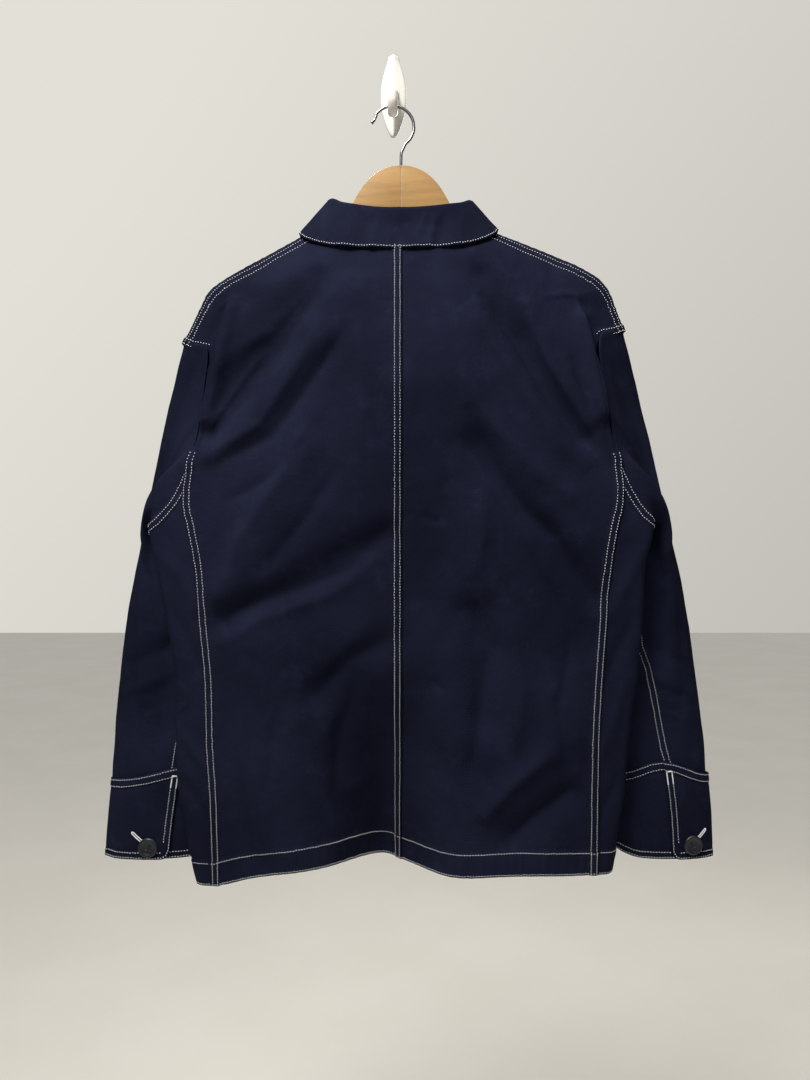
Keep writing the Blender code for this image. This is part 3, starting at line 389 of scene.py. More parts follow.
def curve(knots: Sequence[float], values: Sequence, at: np.ndarray | float) -> np.ndarray:
    """Smooth curve through rising knots that never overshoots them.

    Args:
        knots: Rising places, one for each value.
        values: Numbers, or points with one row for each knot.
        at: Places at which the curve is read; places outside the knots read the nearest end.

    Returns:
        The curve's values, with the shape of ``at`` and, for points, one more axis.
    """
    knots = np.asarray(knots, float)
    values = np.asarray(values, float)
    if values.ndim == 2:
        return np.stack([curve(knots, column, at) for column in values.T], axis=-1)
    at = np.clip(np.asarray(at, float), knots[0], knots[-1])
    step = np.diff(values) / np.diff(knots)
    before, after = step[:-1], step[1:]
    agree = before * after > 0.0
    inner = np.where(agree, 2.0 * before * after / np.where(agree, before + after, 1.0), 0.0)
    slope = np.concatenate([step[:1], inner, step[-1:]])
    piece = np.clip(np.searchsorted(knots, at) - 1, 0, len(knots) - 2)
    width = knots[piece + 1] - knots[piece]
    t = (at - knots[piece]) / width
    rise = t * t * (3.0 - 2.0 * t)
    bend = t * (1.0 - t) ** 2 * slope[piece] - t * t * (1.0 - t) * slope[piece + 1]
    return values[piece] * (1.0 - rise) + values[piece + 1] * rise + width * bend


def column(rows: Sequence, name: str, z: np.ndarray | float) -> np.ndarray:
    """One named column of a table at height z; the rows of the table run downwards."""
    return curve([-row.z for row in rows], [getattr(row, name) for row in rows], -np.asarray(z))


def lengths_of(points: np.ndarray) -> np.ndarray:
    """Distance along a route at each of its points."""
    return np.concatenate([[0.0], np.cumsum(np.linalg.norm(np.diff(points, axis=0), axis=1))])


def resample(points: Sequence, fractions: Sequence[float]) -> np.ndarray:
    """Points at the given fractions of the length of a smooth route through points."""
    points = np.asarray(points, float)
    along = lengths_of(points)
    return curve(along, points, np.asarray(fractions) * along[-1])


def spread(steps: Sequence[float], count: int) -> np.ndarray:
    """An uneven table of rising fractions, refined to count values that keep its spacing."""
    return curve(np.linspace(0.0, 1.0, len(steps)), steps, np.linspace(0.0, 1.0, count))


def lerp(first, second, part: float) -> np.ndarray:
    """Point between two points."""
    return np.asarray(first, float) * (1.0 - part) + np.asarray(second, float) * part


def unit(vectors: np.ndarray) -> np.ndarray:
    """Vectors brought to length one."""
    size = np.linalg.norm(vectors, axis=-1, keepdims=True)
    return vectors / np.maximum(size, 1e-9)


def fold_height(folds: Sequence[Fold], x: np.ndarray, z: np.ndarray) -> np.ndarray:
    """Sum of the broad folds at places; x is counted from the centre line."""
    total = np.zeros(np.broadcast(x, z).shape)
    for fold in folds:
        run_x, run_z = fold.x1 - fold.x0, fold.z1 - fold.z0
        along = ((x - fold.x0) * run_x + (z - fold.z0) * run_z) / (run_x**2 + run_z**2)
        along = np.clip(along, 0.0, 1.0)
        away = np.hypot(x - fold.x0 - along * run_x, z - fold.z0 - along * run_z)
        total = total + fold.height * np.exp(-((away / fold.width) ** 2))
    return total


def side_reach(side: Side, z: np.ndarray | float) -> np.ndarray:
    """Reach of the body's outline at height z."""
    return column(SECTIONS, side.name, z)


def neck_reach(side: Side) -> float:
    """Reach of the point where the neck line meets the shoulder seam."""
    return float(side_reach(side, side.neck_z))


def sheet_depth(side: Side, reach: np.ndarray, z: np.ndarray, facing: int) -> np.ndarray:
    """Depth y of the back (facing -1) or front (facing 1) cloth at places."""
    edge = side_reach(side, z)
    share = np.minimum(np.abs(reach) / edge, 1.0)
    inset = (1.0 - share) * edge
    start = column(SECTIONS, "side", z)
    left = np.maximum(0.0, 1.0 - inset / column(SECTIONS, "turn", z))
    turn = TURN_DEPTH * (1.0 - left**TURN_POWER) ** (1.0 / TURN_POWER)
    full = column(SECTIONS, "full_back" if facing < 0 else "full_front", z)
    middle = column(SECTIONS, "back" if facing < 0 else "front", z)
    swell = (np.abs(middle - start) - TURN_DEPTH) * (1.0 - share**2) ** full
    x = side.sign * reach
    folds = fold_height(BACK_FOLDS if facing < 0 else FRONT_FOLDS, x, z) * smooth(inset / 22.0)
    y = start + facing * (turn + swell + folds)
    if facing < 0:
        deep = smooth((VALLEY_TOP_Z - z) / (VALLEY_TOP_Z - VALLEY_FULL_Z))
        y = y + VALLEY_DEPTH * deep * np.exp(-(((x - VALLEY_X) / VALLEY_HALF_WIDTH) ** 2))
    elif side is LEFT:
        y = y + LAP_STEP * smooth((LAP_RAMP[0] - reach) / (LAP_RAMP[0] - LAP_RAMP[1]))
    return y


def place(side: Side, reach, z, facing: int) -> np.ndarray:
    """Points of the body's outer surface, in millimetres."""
    reach, z = np.broadcast_arrays(np.asarray(reach, float), np.asarray(z, float))
    y = sheet_depth(side, reach, z, facing)
    return np.stack([CENTRE_X + side.sign * reach, y, z], axis=-1)


def wrapped_place(side: Side, wrap, z) -> np.ndarray:
    """Body points at a distance round from the side: wrap < 0 is on the back, > 0 on the front."""
    wrap, z = np.broadcast_arrays(np.asarray(wrap, float), np.asarray(z, float))
    turn = column(SECTIONS, "turn", z)
    quarter = turn * math.pi / 2.0
    round_it = turn * (1.0 - np.cos(np.minimum(np.abs(wrap), quarter) / turn))
    reach = side_reach(side, z) - round_it - np.maximum(np.abs(wrap) - quarter, 0.0)
    behind = place(side, reach, z, -1)
    ahead = place(side, reach, z, 1)
    return np.where((wrap > 0.0)[..., None], ahead, behind)


def wrap_of(side: Side, reach, z) -> np.ndarray:
    """Distance round from the side of places that lie past the side turn."""
    turn = column(SECTIONS, "turn", z)
    inset = np.maximum(side_reach(side, z) - reach, 0.0)
    near = turn * np.arccos(np.clip(1.0 - inset / turn, -1.0, 1.0))
    return np.where(inset >= turn, inset - turn + turn * math.pi / 2.0, near)


def shoulder_line(side: Side, steps: Sequence[float]) -> np.ndarray:
    """Places along the shoulder seam, from the tip up to the neck."""
    heights = side.tip_z + (side.neck_z - side.tip_z) * np.arange(41) / 40.0
    return resample(np.stack([side_reach(side, heights), heights], axis=-1), steps)


def shoulder_height(side: Side, reach: np.ndarray | float) -> np.ndarray:
    """Height of the shoulder line at a reach."""
    line = shoulder_line(side, SHOULDER_STEPS)[::-1]
    return curve(line[:, 0], line[:, 1], reach)


def neck_back(side: Side, part: np.ndarray) -> np.ndarray:
    """Places on the back neck line: part 0 is the centre back, 1 the shoulder."""
    angle = np.asarray(part) * math.pi / 2.0
    rise = side.neck_z - NECK_BACK_Z
    return np.stack([neck_reach(side) * np.sin(angle),
                     NECK_BACK_Z + rise * (1.0 - np.cos(angle))], axis=-1)


def neck_front(side: Side, part: np.ndarray) -> np.ndarray:
    """Places on the front neck line: part 0 is the shoulder, 1 the centre front."""
    angle = np.asarray(part) * math.pi / 2.0
    drop = side.neck_z - NECK_FRONT_Z
    return np.stack([neck_reach(side) * np.cos(angle),
                     side.neck_z - drop * np.sin(angle)], axis=-1)


def seam_reach(side: Side, z: np.ndarray | float) -> np.ndarray:
    """Reach of the side seam at height z."""
    return column(SIDE_SEAM, side.name, z)


def arm_route(side: Side, run: str) -> np.ndarray:
    """Places along one run of the armhole: "back", "under", "bottom" or "front"."""
    tip = (float(side_reach(side, side.tip_z)), side.tip_z)
    foot = (float(seam_reach(side, side.seam_z)), side.seam_z)
    below = (float(side_reach(side, side.underarm_z)), side.underarm_z)
    routes = {
        "back": [tip, *side.arm_back, foot],
        "under": [foot, *side.arm_under, below],
        "bottom": [below, *side.arm_bottom],
        "front": [tip, *side.arm_front],
    }
    return np.asarray(routes[run], float)


def back_hem_z(x: np.ndarray | float) -> np.ndarray:
    """Height of the back hem; x is counted from the centre line."""
    return curve([spot[0] for spot in BACK_HEM], [spot[1] for spot in BACK_HEM], x)


def seam_foot(side: Side) -> float:
    """Height at which the side seam meets the hem."""
    return float(back_hem_z(side.sign * float(seam_reach(side, FRONT_HEM_Z))))


# ------------------------------------------------------------------ grids of the cloth panels
@dataclass
class Grid:
    """Grid of points on a panel's outer surface, in millimetres, with outward normals.

    Attributes:
        points: Rows of points, from the top down.
        outward: 1 if the columns' cross product already looks outwards, else -1.
    """

    points: np.ndarray
    outward: int = 1

    def normals(self) -> np.ndarray:
        """Outward normal at each point."""
        down = np.gradient(self.points, axis=0)
        across = np.gradient(self.points, axis=1)
        return unit(np.cross(across, down)) * self.outward

    def lengths(self, axis: int) -> np.ndarray:
        """Distance of each point from the start of its column (axis 0) or its row (axis 1)."""
        step = np.linalg.norm(np.diff(self.points, axis=axis), axis=2)
        start = np.zeros_like(step.take([0], axis))
        return np.concatenate([start, np.cumsum(step, axis=axis)], axis=axis)

    def raised(self, height: np.ndarray) -> "Grid":
        """The same grid with each point moved out along its normal."""
        return Grid(self.points + self.normals() * height[..., None], self.outward)


def loft(side: Side, top: np.ndarray, foot: np.ndarray, edge: np.ndarray, drops: np.ndarray,
         weight: np.ndarray, facing: int) -> np.ndarray:
    """Rows of body points from a top line to a foot line that meet an outer edge.

    Args:
        side: Side of the wearer.
        top: Places along the top row.
        foot: Places along the last row.
        edge: Place of each row on the outer edge: the back's last column, the front's first.
        drops: How far down each row lies, from 0 to 1.
        weight: How much of the edge's lift each column takes.
        facing: -1 for the back, 1 for the front.
    """
    drops = drops[:, None, None]
    spots = top[None] * (1.0 - drops) + foot[None] * drops
    lift = edge - spots[:, 0 if facing > 0 else -1]
    spots = spots + lift[:, None, :] * weight[None, :, None]
    return place(side, spots[..., 0], spots[..., 1], facing)


def back_grid(side: Side, lap: float) -> Grid:
    """Grid of a back panel; its first column is the centre seam and its last the outer edge.

    Args:
        side: Side of the wearer.
        lap: How far the panel passes the centre line.
    """
    start = -math.asin(lap / neck_reach(side)) * 2.0 / math.pi
    neck = neck_back(side, np.linspace(start, 1.0, BACK_NECK_COLUMNS))
    shoulder = shoulder_line(side, np.linspace(1.0, 0.0, BACK_SHOULDER_COLUMNS))
    top = np.concatenate([neck, shoulder[1:]])
    last = len(top) - 1
    foot = seam_foot(side)
    foot_reach = float(seam_reach(side, foot)) + SIDE_LAP
    reach = -lap + (foot_reach + lap) * np.arange(last + 1) / last
    hem = np.stack([reach, back_hem_z(side.sign * reach)], axis=-1)
    drops = spread(BACK_DROPS, BACK_ARM_ROWS)
    arm = resample(arm_route(side, "back"), spread(BACK_ARM_STEPS, BACK_ARM_ROWS))
    parts = np.linspace(0.0, 1.0, BACK_ROWS - BACK_ARM_ROWS + 1)[1:]
    heights = side.seam_z + (foot - side.seam_z) * parts
    lapped = seam_reach(side, heights) + SIDE_LAP * smooth((side.seam_z - heights) / 30.0)
    seam = np.stack([lapped, heights], axis=-1)
    weight = np.maximum(0.0, 1.0 - (last - np.arange(last + 1)) / (last - BACK_NECK_COLUMNS + 1))
    all_drops = np.concatenate([drops, BACK_DROPS[-1] + (1.0 - BACK_DROPS[-1]) * parts])
    points = loft(side, top, hem, np.concatenate([arm, seam]), all_drops, weight, -1)
    return Grid(points, -side.sign)


def front_grids(side: Side) -> tuple[Grid, Grid]:
    """Upper and lower grids of a front; they share the row at the armhole's bottom corner."""
    bottom = resample(arm_route(side, "bottom"), np.linspace(0.0, 1.0, BOTTOM_COLUMNS))
    shares = wrap_of(side, bottom[:, 0], bottom[:, 1]) / wrap_of(side, 0.0, bottom[:, 1])
    corner_share, corner_z = shares[-1], bottom[-1, 1]
    parts = np.linspace(0.0, 1.0, FRONT_COLUMNS)[1:]
    head_share = np.concatenate([shares, corner_share + (1.0 - corner_share) * parts])
    head_z = np.concatenate([bottom[:, 1], np.full(len(parts), corner_z)])

    lap = np.linspace(0.0, 1.0, LAP_COLUMNS + 1)[1:]
    inner = wrapped_place(side, head_share[BOTTOM_COLUMNS - 1:] * wrap_of(side, 0.0, corner_z),
                          corner_z)
    foot = np.stack([side.sign * (inner[:, 0] - CENTRE_X), np.full(len(inner), corner_z)], axis=-1)
    foot = np.concatenate([foot, np.stack([-FRONT_LAP * lap, np.full(len(lap), corner_z)], -1)])
    shoulder_count = int(FRONT_COLUMNS * SHOULDER_SHARE)
    neck_parts = spread(NECK_FRONT_PARTS, FRONT_COLUMNS - shoulder_count + 1)[1:]
    top = np.concatenate([
        shoulder_line(side, np.linspace(0.0, 1.0, shoulder_count)), neck_front(side, neck_parts),
        np.stack([-FRONT_LAP * lap, np.full(len(lap), NECK_FRONT_Z)], axis=-1)])
    arm = resample(arm_route(side, "front"), spread(FRONT_ARM_STEPS, FRONT_UPPER_ROWS))
    weight = smooth(1.0 - np.arange(len(top)) / (shoulder_count - 1))
    upper = loft(side, top, foot, arm, spread(FRONT_DROPS, FRONT_UPPER_ROWS), weight, 1)

    under = resample(arm_route(side, "under"), np.linspace(0.0, 1.0, STRIP_COLUMNS))
    head_wrap = float(wrap_of(side, *under[0]))
    top_share = wrap_of(side, under[:, 0], under[:, 1]) / head_wrap
    foot_z = seam_foot(side)
    edge_foot = float(back_hem_z(side.sign * float(side_reach(side, foot_z))))
    side_share = np.linspace(1.0, 0.0, STRIP_COLUMNS)
    foot_share = spread(FOOT_PARTS, len(head_share))
    rows = []
    for drop in np.linspace(0.0, 1.0, FRONT_LOWER_ROWS):
        seam_z = side.seam_z + (foot_z - side.seam_z) * drop
        seam_wrap = float(wrap_of(side, float(seam_reach(side, seam_z)), seam_z))
        tuck = SIDE_TUCK * float(smooth(drop * 14.0))
        hem_z = foot_z * side_share + edge_foot * (1.0 - side_share)
        z = under[:, 1] * (1.0 - drop) + hem_z * drop
        wrap = (top_share * (1.0 - drop) + side_share * drop) * (seam_wrap + tuck)
        strip = wrapped_place(side, -wrap[:-1], z[:-1])
        hem_z = edge_foot + (FRONT_HEM_Z - edge_foot) * smooth(foot_share)
        z = head_z * (1.0 - drop) + hem_z * drop
        share = head_share * (1.0 - drop) + foot_share * drop
        face = wrapped_place(side, share * wrap_of(side, 0.0, z), z)
        over = place(side, -FRONT_LAP * lap, np.full(len(lap), z[-1]), 1)
        rows.append(np.concatenate([strip, face, over]))
    return Grid(upper, -side.sign), Grid(np.stack(rows), -side.sign)


def body_normal(side: Side, reach: np.ndarray, z: np.ndarray, facing: int) -> np.ndarray:
    """Outward normal of the body's form at places."""
    reach = np.minimum(reach, side_reach(side, z) - 0.6)
    out = place(side, reach + 0.4, z, facing) - place(side, reach - 0.4, z, facing)
    up = place(side, reach, z + 0.8, facing) - place(side, reach, z - 0.8, facing)
    normal = unit(np.cross(out, up))
    return normal * np.where(normal[..., 1:2] * facing < 0.0, -1.0, 1.0)


def armhole_ring(side: Side) -> tuple[np.ndarray, np.ndarray, np.ndarray]:
    """Points round the armhole, the sleeve's angle at each, and the body's normal there."""
    counts = {"back": 38, "under": 14, "bottom": 16, "front": 34}
    ring, angles, normals = [], [], []
    for number, (run, count) in enumerate(counts.items()):
        facing = -1 if run in ("back", "under") else 1
        spots = resample(arm_route(side, run), np.linspace(0.0, 1.0, count))
        if run == "front":
            spots = spots[::-1]
        points = place(side, spots[:, 0], spots[:, 1], facing)
        along = lengths_of(points)
        start, end = RUN_ANGLES[number], RUN_ANGLES[number + 1]
        skip = 0 if number == 0 else 1
        ring.append(points[skip:])
        angles.append((start + (end - start) * along / along[-1])[skip:])
        normals.append(body_normal(side, spots[:, 0], spots[:, 1], facing)[skip:])
    return np.concatenate(ring), np.radians(np.concatenate(angles)), np.concatenate(normals)


def sleeve_place(side: Side, angle, z, grow=0.0) -> np.ndarray:
    """Points on level rings of a sleeve; grow moves them outwards."""
    angle, z, grow = np.broadcast_arrays(np.asarray(angle, float), z, grow)
    half = column(SLEEVE_RINGS, "width", z) / 2.0
    depth = column(SLEEVE_RINGS, "depth", z)
    reach = column(SLEEVE_RINGS, side.name, z) - half + (half + grow) * np.cos(angle)
    y = column(SLEEVE_RINGS, "middle", z) - (depth + grow) * np.sin(angle)
    return np.stack([CENTRE_X + side.sign * reach, y, z], axis=-1)


def cuff_top(cuff: CuffPlan, angle: np.ndarray) -> np.ndarray:
    """Height of the seam between sleeve and cuff at an angle; it peaks over the opening."""
    away = np.arccos(np.clip(np.cos(angle - math.radians(cuff.upper_angle)), -1.0, 1.0))
    peak = cuff.peak * np.exp(-((away / CUFF_PEAK_WIDTH) ** 2))
    return cuff.top_z - cuff.tilt * np.cos(angle) + peak


def sleeve_grid(cuff: CuffPlan) -> Grid:
    """Grid of a sleeve from under the armhole's edge down to inside its cuff."""
    side = cuff.side
    ring, angle, normal = armhole_ring(side)
    inner = (1.0 - np.cos(angle)) / 2.0
    first_z = SLEEVE_RINGS[0].z - SLEEVE_RING_TILT * inner
    end = sleeve_place(side, angle, first_z)
    degrees = np.degrees(angle)
    knots = [row.angle for row in SLEEVE_LEAVE]
    ways = [curve(knots, [getattr(row, name) for row in SLEEVE_LEAVE], degrees)
            for name in ("out", "ahead", "down")]
    leave = np.stack([side.sign * ways[0], ways[1], -ways[2]], axis=-1)
    arrive = np.array((side.sign * 0.2, 0.0, -1.0))
    span = np.linalg.norm(end - ring, axis=1, keepdims=True)
    tucked = [ring - unit(leave) * back - normal * sink for back, sink in SLEEVE_TUCK]
    for t in np.linspace(0.0, 1.0, SLEEVE_HEAD_ROWS) ** HEAD_EASE:
        point = (ring * (2.0 * t**3 - 3.0 * t**2 + 1.0) + leave * span * (t**3 - 2.0 * t**2 + t)
                 + end * (3.0 * t**2 - 2.0 * t**3) + arrive * span * (t**3 - t**2))
        point -= normal * SLEEVE_SINK * (1.0 - smooth(t * 9.0))
        fold = fold_height(SLEEVE_FOLDS, point[:, 0] - CENTRE_X, point[:, 2])
        point[:, 1] -= fold * np.sin(angle) * smooth(t * 2.0)
        tucked.append(point)
    for t in np.linspace(0.0, 1.0, SLEEVE_ROWS)[1:]:
        level = first_z * (1.0 - t) + (cuff_top(cuff, angle) - CUFF_TUCK) * t
        point = sleeve_place(side, angle, level)
        fade = 1.0 - smooth((t - FADE_FROM) / (1.0 - FADE_FROM))
        fold = fold_height(SLEEVE_FOLDS, point[:, 0] - CENTRE_X, point[:, 2])
        point[:, 1] -= fold * np.sin(angle) * fade
        tucked.append(point)
    return Grid(np.stack(tucked), side.sign)


def cuff_grid(cuff: CuffPlan) -> Grid:
    """Grid of a cuff's band, which goes once round and laps over its own start."""
    turn = 360.0 + cuff.upper_angle - cuff.under_angle
    degrees = cuff.under_angle + turn * np.linspace(0.0, 1.0, CUFF_COLUMNS)
    angle = np.radians(degrees)
    start = 360.0 + cuff.under_angle - CUFF_LAP_RAMP[0]
    grow = CUFF_STEP * smooth((degrees - start) / CUFF_LAP_RAMP[1])
    top = cuff_top(cuff, angle)
    bottom = np.full(CUFF_COLUMNS, CUFF_BOTTOM_Z)
    level = sleeve_place(cuff.side, angle, bottom, grow)
    step = np.linalg.norm(np.diff(level, axis=0), axis=1)
    to_end = np.concatenate([np.cumsum(step[::-1])[::-1], [0.0]])
    short = np.clip(1.0 - to_end / CUFF_CORNER, 0.0, 1.0)
    bottom = bottom + CUFF_CORNER * (1.0 - np.sqrt(1.0 - short**2))
    if cuff.side is RIGHT:
        away = np.degrees(np.arccos(np.clip(np.cos(angle - math.pi), -1.0, 1.0)))
        bottom = bottom + CUFF_LIFT * (1.0 - smooth(away / CUFF_LIFT_ANGLE))
    drops = np.linspace(0.0, 1.0, CUFF_ROWS)[:, None]
    z = top[None] + (bottom - top)[None] * drops
    points = sleeve_place(cuff.side, np.broadcast_to(angle, z.shape), z,
                          np.broadcast_to(grow, z.shape))
    return Grid(points, cuff.side.sign)


# ------------------------------------------------------------------ the collar's form
def station_value(name: str, at: float) -> float:
    """One named column of the collar's table at a station."""
    return float(curve([row.place for row in COLLAR], [getattr(row, name) for row in COLLAR], at))


def neck_point(side: Side, at: float) -> np.ndarray:
    """Point of the neck line at a collar station."""
    if at <= 1.0:
        return place(side, *neck_back(side, at), -1)
    reach, z = neck_front(side, at - 1.0)
    return place(side, max(reach, COLLAR_END), z, 1)


def fall_edge(side: Side, at: float) -> np.ndarray:
    """Point of the collar's outer edge at a station, clear of what it lies on."""
    ridge = float(shoulder_height(side, COLLAR_SIDE_REACH))
    if at <= 1.0:
        angle = at * math.pi / 2.0
        reach = COLLAR_SIDE_REACH * math.sin(angle)
        z = COLLAR_BACK_Z + (ridge - COLLAR_BACK_Z) * (1.0 - math.cos(angle)) ** 1.2
        point = place(side, reach, z, -1)
        away = FALL_CLEAR * math.sqrt(max(math.cos(angle), 0.0))
        return point + np.array((0.0, -away, FALL_LIFT * math.sin(angle) ** 4))
    part = at - 1.0
    reach = COLLAR_SIDE_REACH + (COLLAR_POINT[0] - COLLAR_SIDE_REACH) * part**1.6
    z = ridge + (COLLAR_POINT[1] - ridge) * part
    point = place(side, reach, z, 1)
    rise = FALL_LIFT * (1.0 - float(smooth(part * 6.0)))
    return point + np.array((0.0, FALL_CLEAR * float(smooth(part * 8.0)), rise))


def collar_frame(side: Side, at: float) -> tuple[np.ndarray, np.ndarray]:
    """Directions at a collar station: square up from the neck line, and in towards the neck."""
    first = neck_point(side, max(at - 0.02, 0.0))
    along = unit(neck_point(side, min(at + 0.02, 2.0)) - first)
    if at > 1.95:
        along = np.array((1.0, 0.0, 0.0))
    up = np.array((0.0, 0.0, 1.0))
    rise = unit(up - along * up.dot(along))
    inward = np.cross(along, rise)
    centre = np.array((CENTRE_X, SHOULDER_Y, first[2])) - first
    return rise, inward if inward.dot(centre) > 0.0 else -inward


def clear_point(side: Side, point: np.ndarray, facing: int) -> np.ndarray:
    """A point of the collar's fall, moved out where it would be too near the body."""
    reach = side.sign * (point[0] - CENTRE_X)
    ridge = float(shoulder_height(side, max(reach, neck_reach(side))))
    if reach < neck_reach(side) * 0.2 or point[2] > ridge:
        return point
    nearest = float(sheet_depth(side, reach, point[2], facing)) + facing * FALL_CLEAR
    return np.array((point[0], facing * max(facing * point[1], facing * nearest), point[2]))


def collar_section(side: Side, at: float) -> np.ndarray:
    """Points of the collar at a station: up the stand, over the roll, down the fall."""
    rise, inward = collar_frame(side, at)
    foot = neck_point(side, at) + rise * STAND_GAP
    edge = fall_edge(side, at)
    crest = foot + rise * station_value("rise", at) + inward * station_value("lean", at)
    under = crest - unit(crest - foot) * ROLL
    over = under - inward * 2.0 * ROLL
    facing = -1 if at < 1.0 else 1
    stand = [lerp(foot, under, part) for part in np.linspace(0.0, 1.0, STAND_POINTS)]
    roll = [under - inward * ROLL * (1.0 - math.cos(turn))
            + unit(crest - foot) * ROLL * math.sin(turn)
            for turn in np.linspace(0.0, math.pi, ROLL_POINTS + 2)[1:-1]]
    knots = [over] + [clear_point(side, lerp(over, edge, part), facing)
                      for part in FALL_KNOTS[1:-1]] + [edge]
    fall = curve(FALL_KNOTS, np.stack(knots), np.linspace(0.0, 1.0, FALL_POINTS))
    return np.concatenate([np.stack(stand), np.stack(roll), fall])


def collar_grid(left: Side, right: Side) -> Grid:
    """Grid of the whole collar, from the left front over the back to the right front."""
    half = np.linspace(2.0, 0.0, COLLAR_STATIONS)
    rows = [collar_section(left, at) for at in half]
    rows += [collar_section(right, at) for at in half[::-1][1:]]
    return Grid(np.stack(rows))


# ------------------------------------------------------------------ fine shape of the cloth
class Crease(NamedTuple):
    """Crease along a route of (x, z) places: a ridge (+) or a trough (-), as wide as it says.

    A step is lower on one side of the route by its height and keeps its level on the other.
    """

    route: tuple
    width: float
    height: float
    step: bool = False


def distance_to(route: np.ndarray, points: np.ndarray) -> tuple[np.ndarray, ...]:
    """Nearest places of a route, in space or in a plane, to points.

    Returns:
        The distance from each point, how far along the route its nearest place is, and on which
        hand of the route it lies in a plane: 1 to the left of the way the route runs, else -1.
    """
    length = lengths_of(route)
    best, along, hand = np.full(points.shape[:-1], 1e9), 0.0, 0.0
    for start, first, run in zip(length, route, np.diff(route, axis=0)):
        square = max(run.dot(run), 1e-9)
        t = np.clip((points - first) @ run / square, 0.0, 1.0)
        off = points - first - t[..., None] * run
        away = np.linalg.norm(off, axis=-1)
        near = away < best
        best = np.where(near, away, best)
        along = np.where(near, start + t * math.sqrt(square), along)
        hand = np.where(near, np.sign(run[0] * off[..., 1] - run[1] * off[..., 0]), hand)
    return best, along, hand


def crease_height(creases: Sequence[Crease], x: np.ndarray, z: np.ndarray) -> np.ndarray:
    """Sum of the creases at places; each fades out towards both ends of its route."""
    places = np.stack(np.broadcast_arrays(x, z), axis=-1)
    total = np.zeros(places.shape[:-1])
    for crease in creases:
        route = np.asarray(crease.route, float)
        away, along, hand = distance_to(route, places)
        part = along / lengths_of(route)[-1]
        height = crease.height * np.sin(np.clip(part, 0.0, 1.0) * math.pi) ** 0.6
        if crease.step:
            side = smooth(0.5 + hand * away / crease.width)
            total += height * (side - 1.0) * np.exp(-((away / (crease.width * 9.0)) ** 2))
        else:
            total += height * np.exp(-((away / crease.width) ** 1.7))
    return total


def noise(x: np.ndarray, z: np.ndarray, seed: int) -> np.ndarray:
    """Smooth value noise from -1 to 1 over a plane; it changes over about one unit."""
    size = 64
    table = np.random.default_rng(seed).uniform(-1.0, 1.0, (size, size))
    ix, iz = np.floor(x).astype(int), np.floor(z).astype(int)
    fx, fz = smooth(x - ix), smooth(z - iz)
    rows = []
    for level in (iz % size, (iz + 1) % size):
        rows.append(table[ix % size, level] * (1.0 - fx) + table[(ix + 1) % size, level] * fx)
    return rows[0] * (1.0 - fz) + rows[1] * fz


def hand_wrinkles(x: np.ndarray, z: np.ndarray, seed: int) -> np.ndarray:
    """Faint unevenness of washed twill, in millimetres."""
    broad = noise((x + 0.6 * z) / 46.0, (z - 0.4 * x) / 70.0, seed)
    middle = noise((x - 0.5 * z) / 19.0, (z + 0.3 * x) / 34.0, seed + 1)
    fine = noise(x / 6.5, z / 8.5, seed + 2)
    return 0.9 * broad + 0.42 * middle + 0.10 * fine


@dataclass
class Fell:
    """A band of extra layers along an edge of a panel: a felled seam or a hem.

    Attributes:
        edge: Route of the panel's edge, in millimetres.
        width: How far the band reaches in from the edge.
        height: How far it stands up.
        pucker: Height of the small waves that the sewing draws along the band.
        wave: Length of one wave.
    """

    edge: np.ndarray
    width: float = FELL_WIDTH
    height: float = FELL_HEIGHT
    pucker: float = 0.34
    wave: float = 9.0

    STEP = 1.6            # the band ends over this width
    GROOVE = -0.25        # depth of the line pressed beside it
    GROOVE_WIDTH = 1.8
    PARTS = 60            # its edge is read in about this many parts

    def height_at(self, points: np.ndarray) -> np.ndarray:
        """How far the band moves each point out."""
        route = self.edge[:: max(1, len(self.edge) // self.PARTS)]
        if len(self.edge) > 1 and not np.allclose(route[-1], self.edge[-1]):
            route = np.concatenate([route, self.edge[-1:]])
        away, along, _ = distance_to(route, points)
        band = self.height * (1.0 - smooth((away - self.width) / self.STEP + 0.5))
        # two sine waves, whose phase drifts, make the puckers uneven
        phase = 2.0 * math.pi * (along / self.wave + 0.55 * noise(along / 23.0, along * 0.0, 5))
        waves = np.sin(phase) + 0.45 * np.sin(phase * 1.73 + 1.0)
        near = np.exp(-(((away - self.width * 0.5) / (self.width * 0.75)) ** 2))
        beside = np.exp(-(((away - self.width - self.STEP) / self.GROOVE_WIDTH) ** 2))
        return band + self.pucker * waves * near + self.GROOVE * beside


# ------------------------------------------------------------------ making Blender objects
def deselect() -> None:
    """Leave nothing selected or active."""
    for item in list(bpy.context.selected_objects):
        item.select_set(False)
    bpy.context.view_layer.objects.active = None


def link(name: str, data: bpy.types.ID, material: bpy.types.Material) -> bpy.types.Object:
    """Put new object data with its material into the scene."""
    data.materials.append(material)
    item = bpy.data.objects.new(name, data)
    bpy.context.scene.collection.objects.link(item)
    return item


def choose(*items: bpy.types.Object) -> None:
    """Select only these objects, and make the first of them active."""
    deselect()
    for item in items:
        item.select_set(True)
    bpy.context.view_layer.objects.active = items[0]


def apply_modifiers(item: bpy.types.Object) -> bpy.types.Object:
    """Apply every modifier of an object."""
    choose(item)
    for modifier in list(item.modifiers):
        bpy.ops.object.modifier_apply(modifier=modifier.name)
    deselect()
    return item


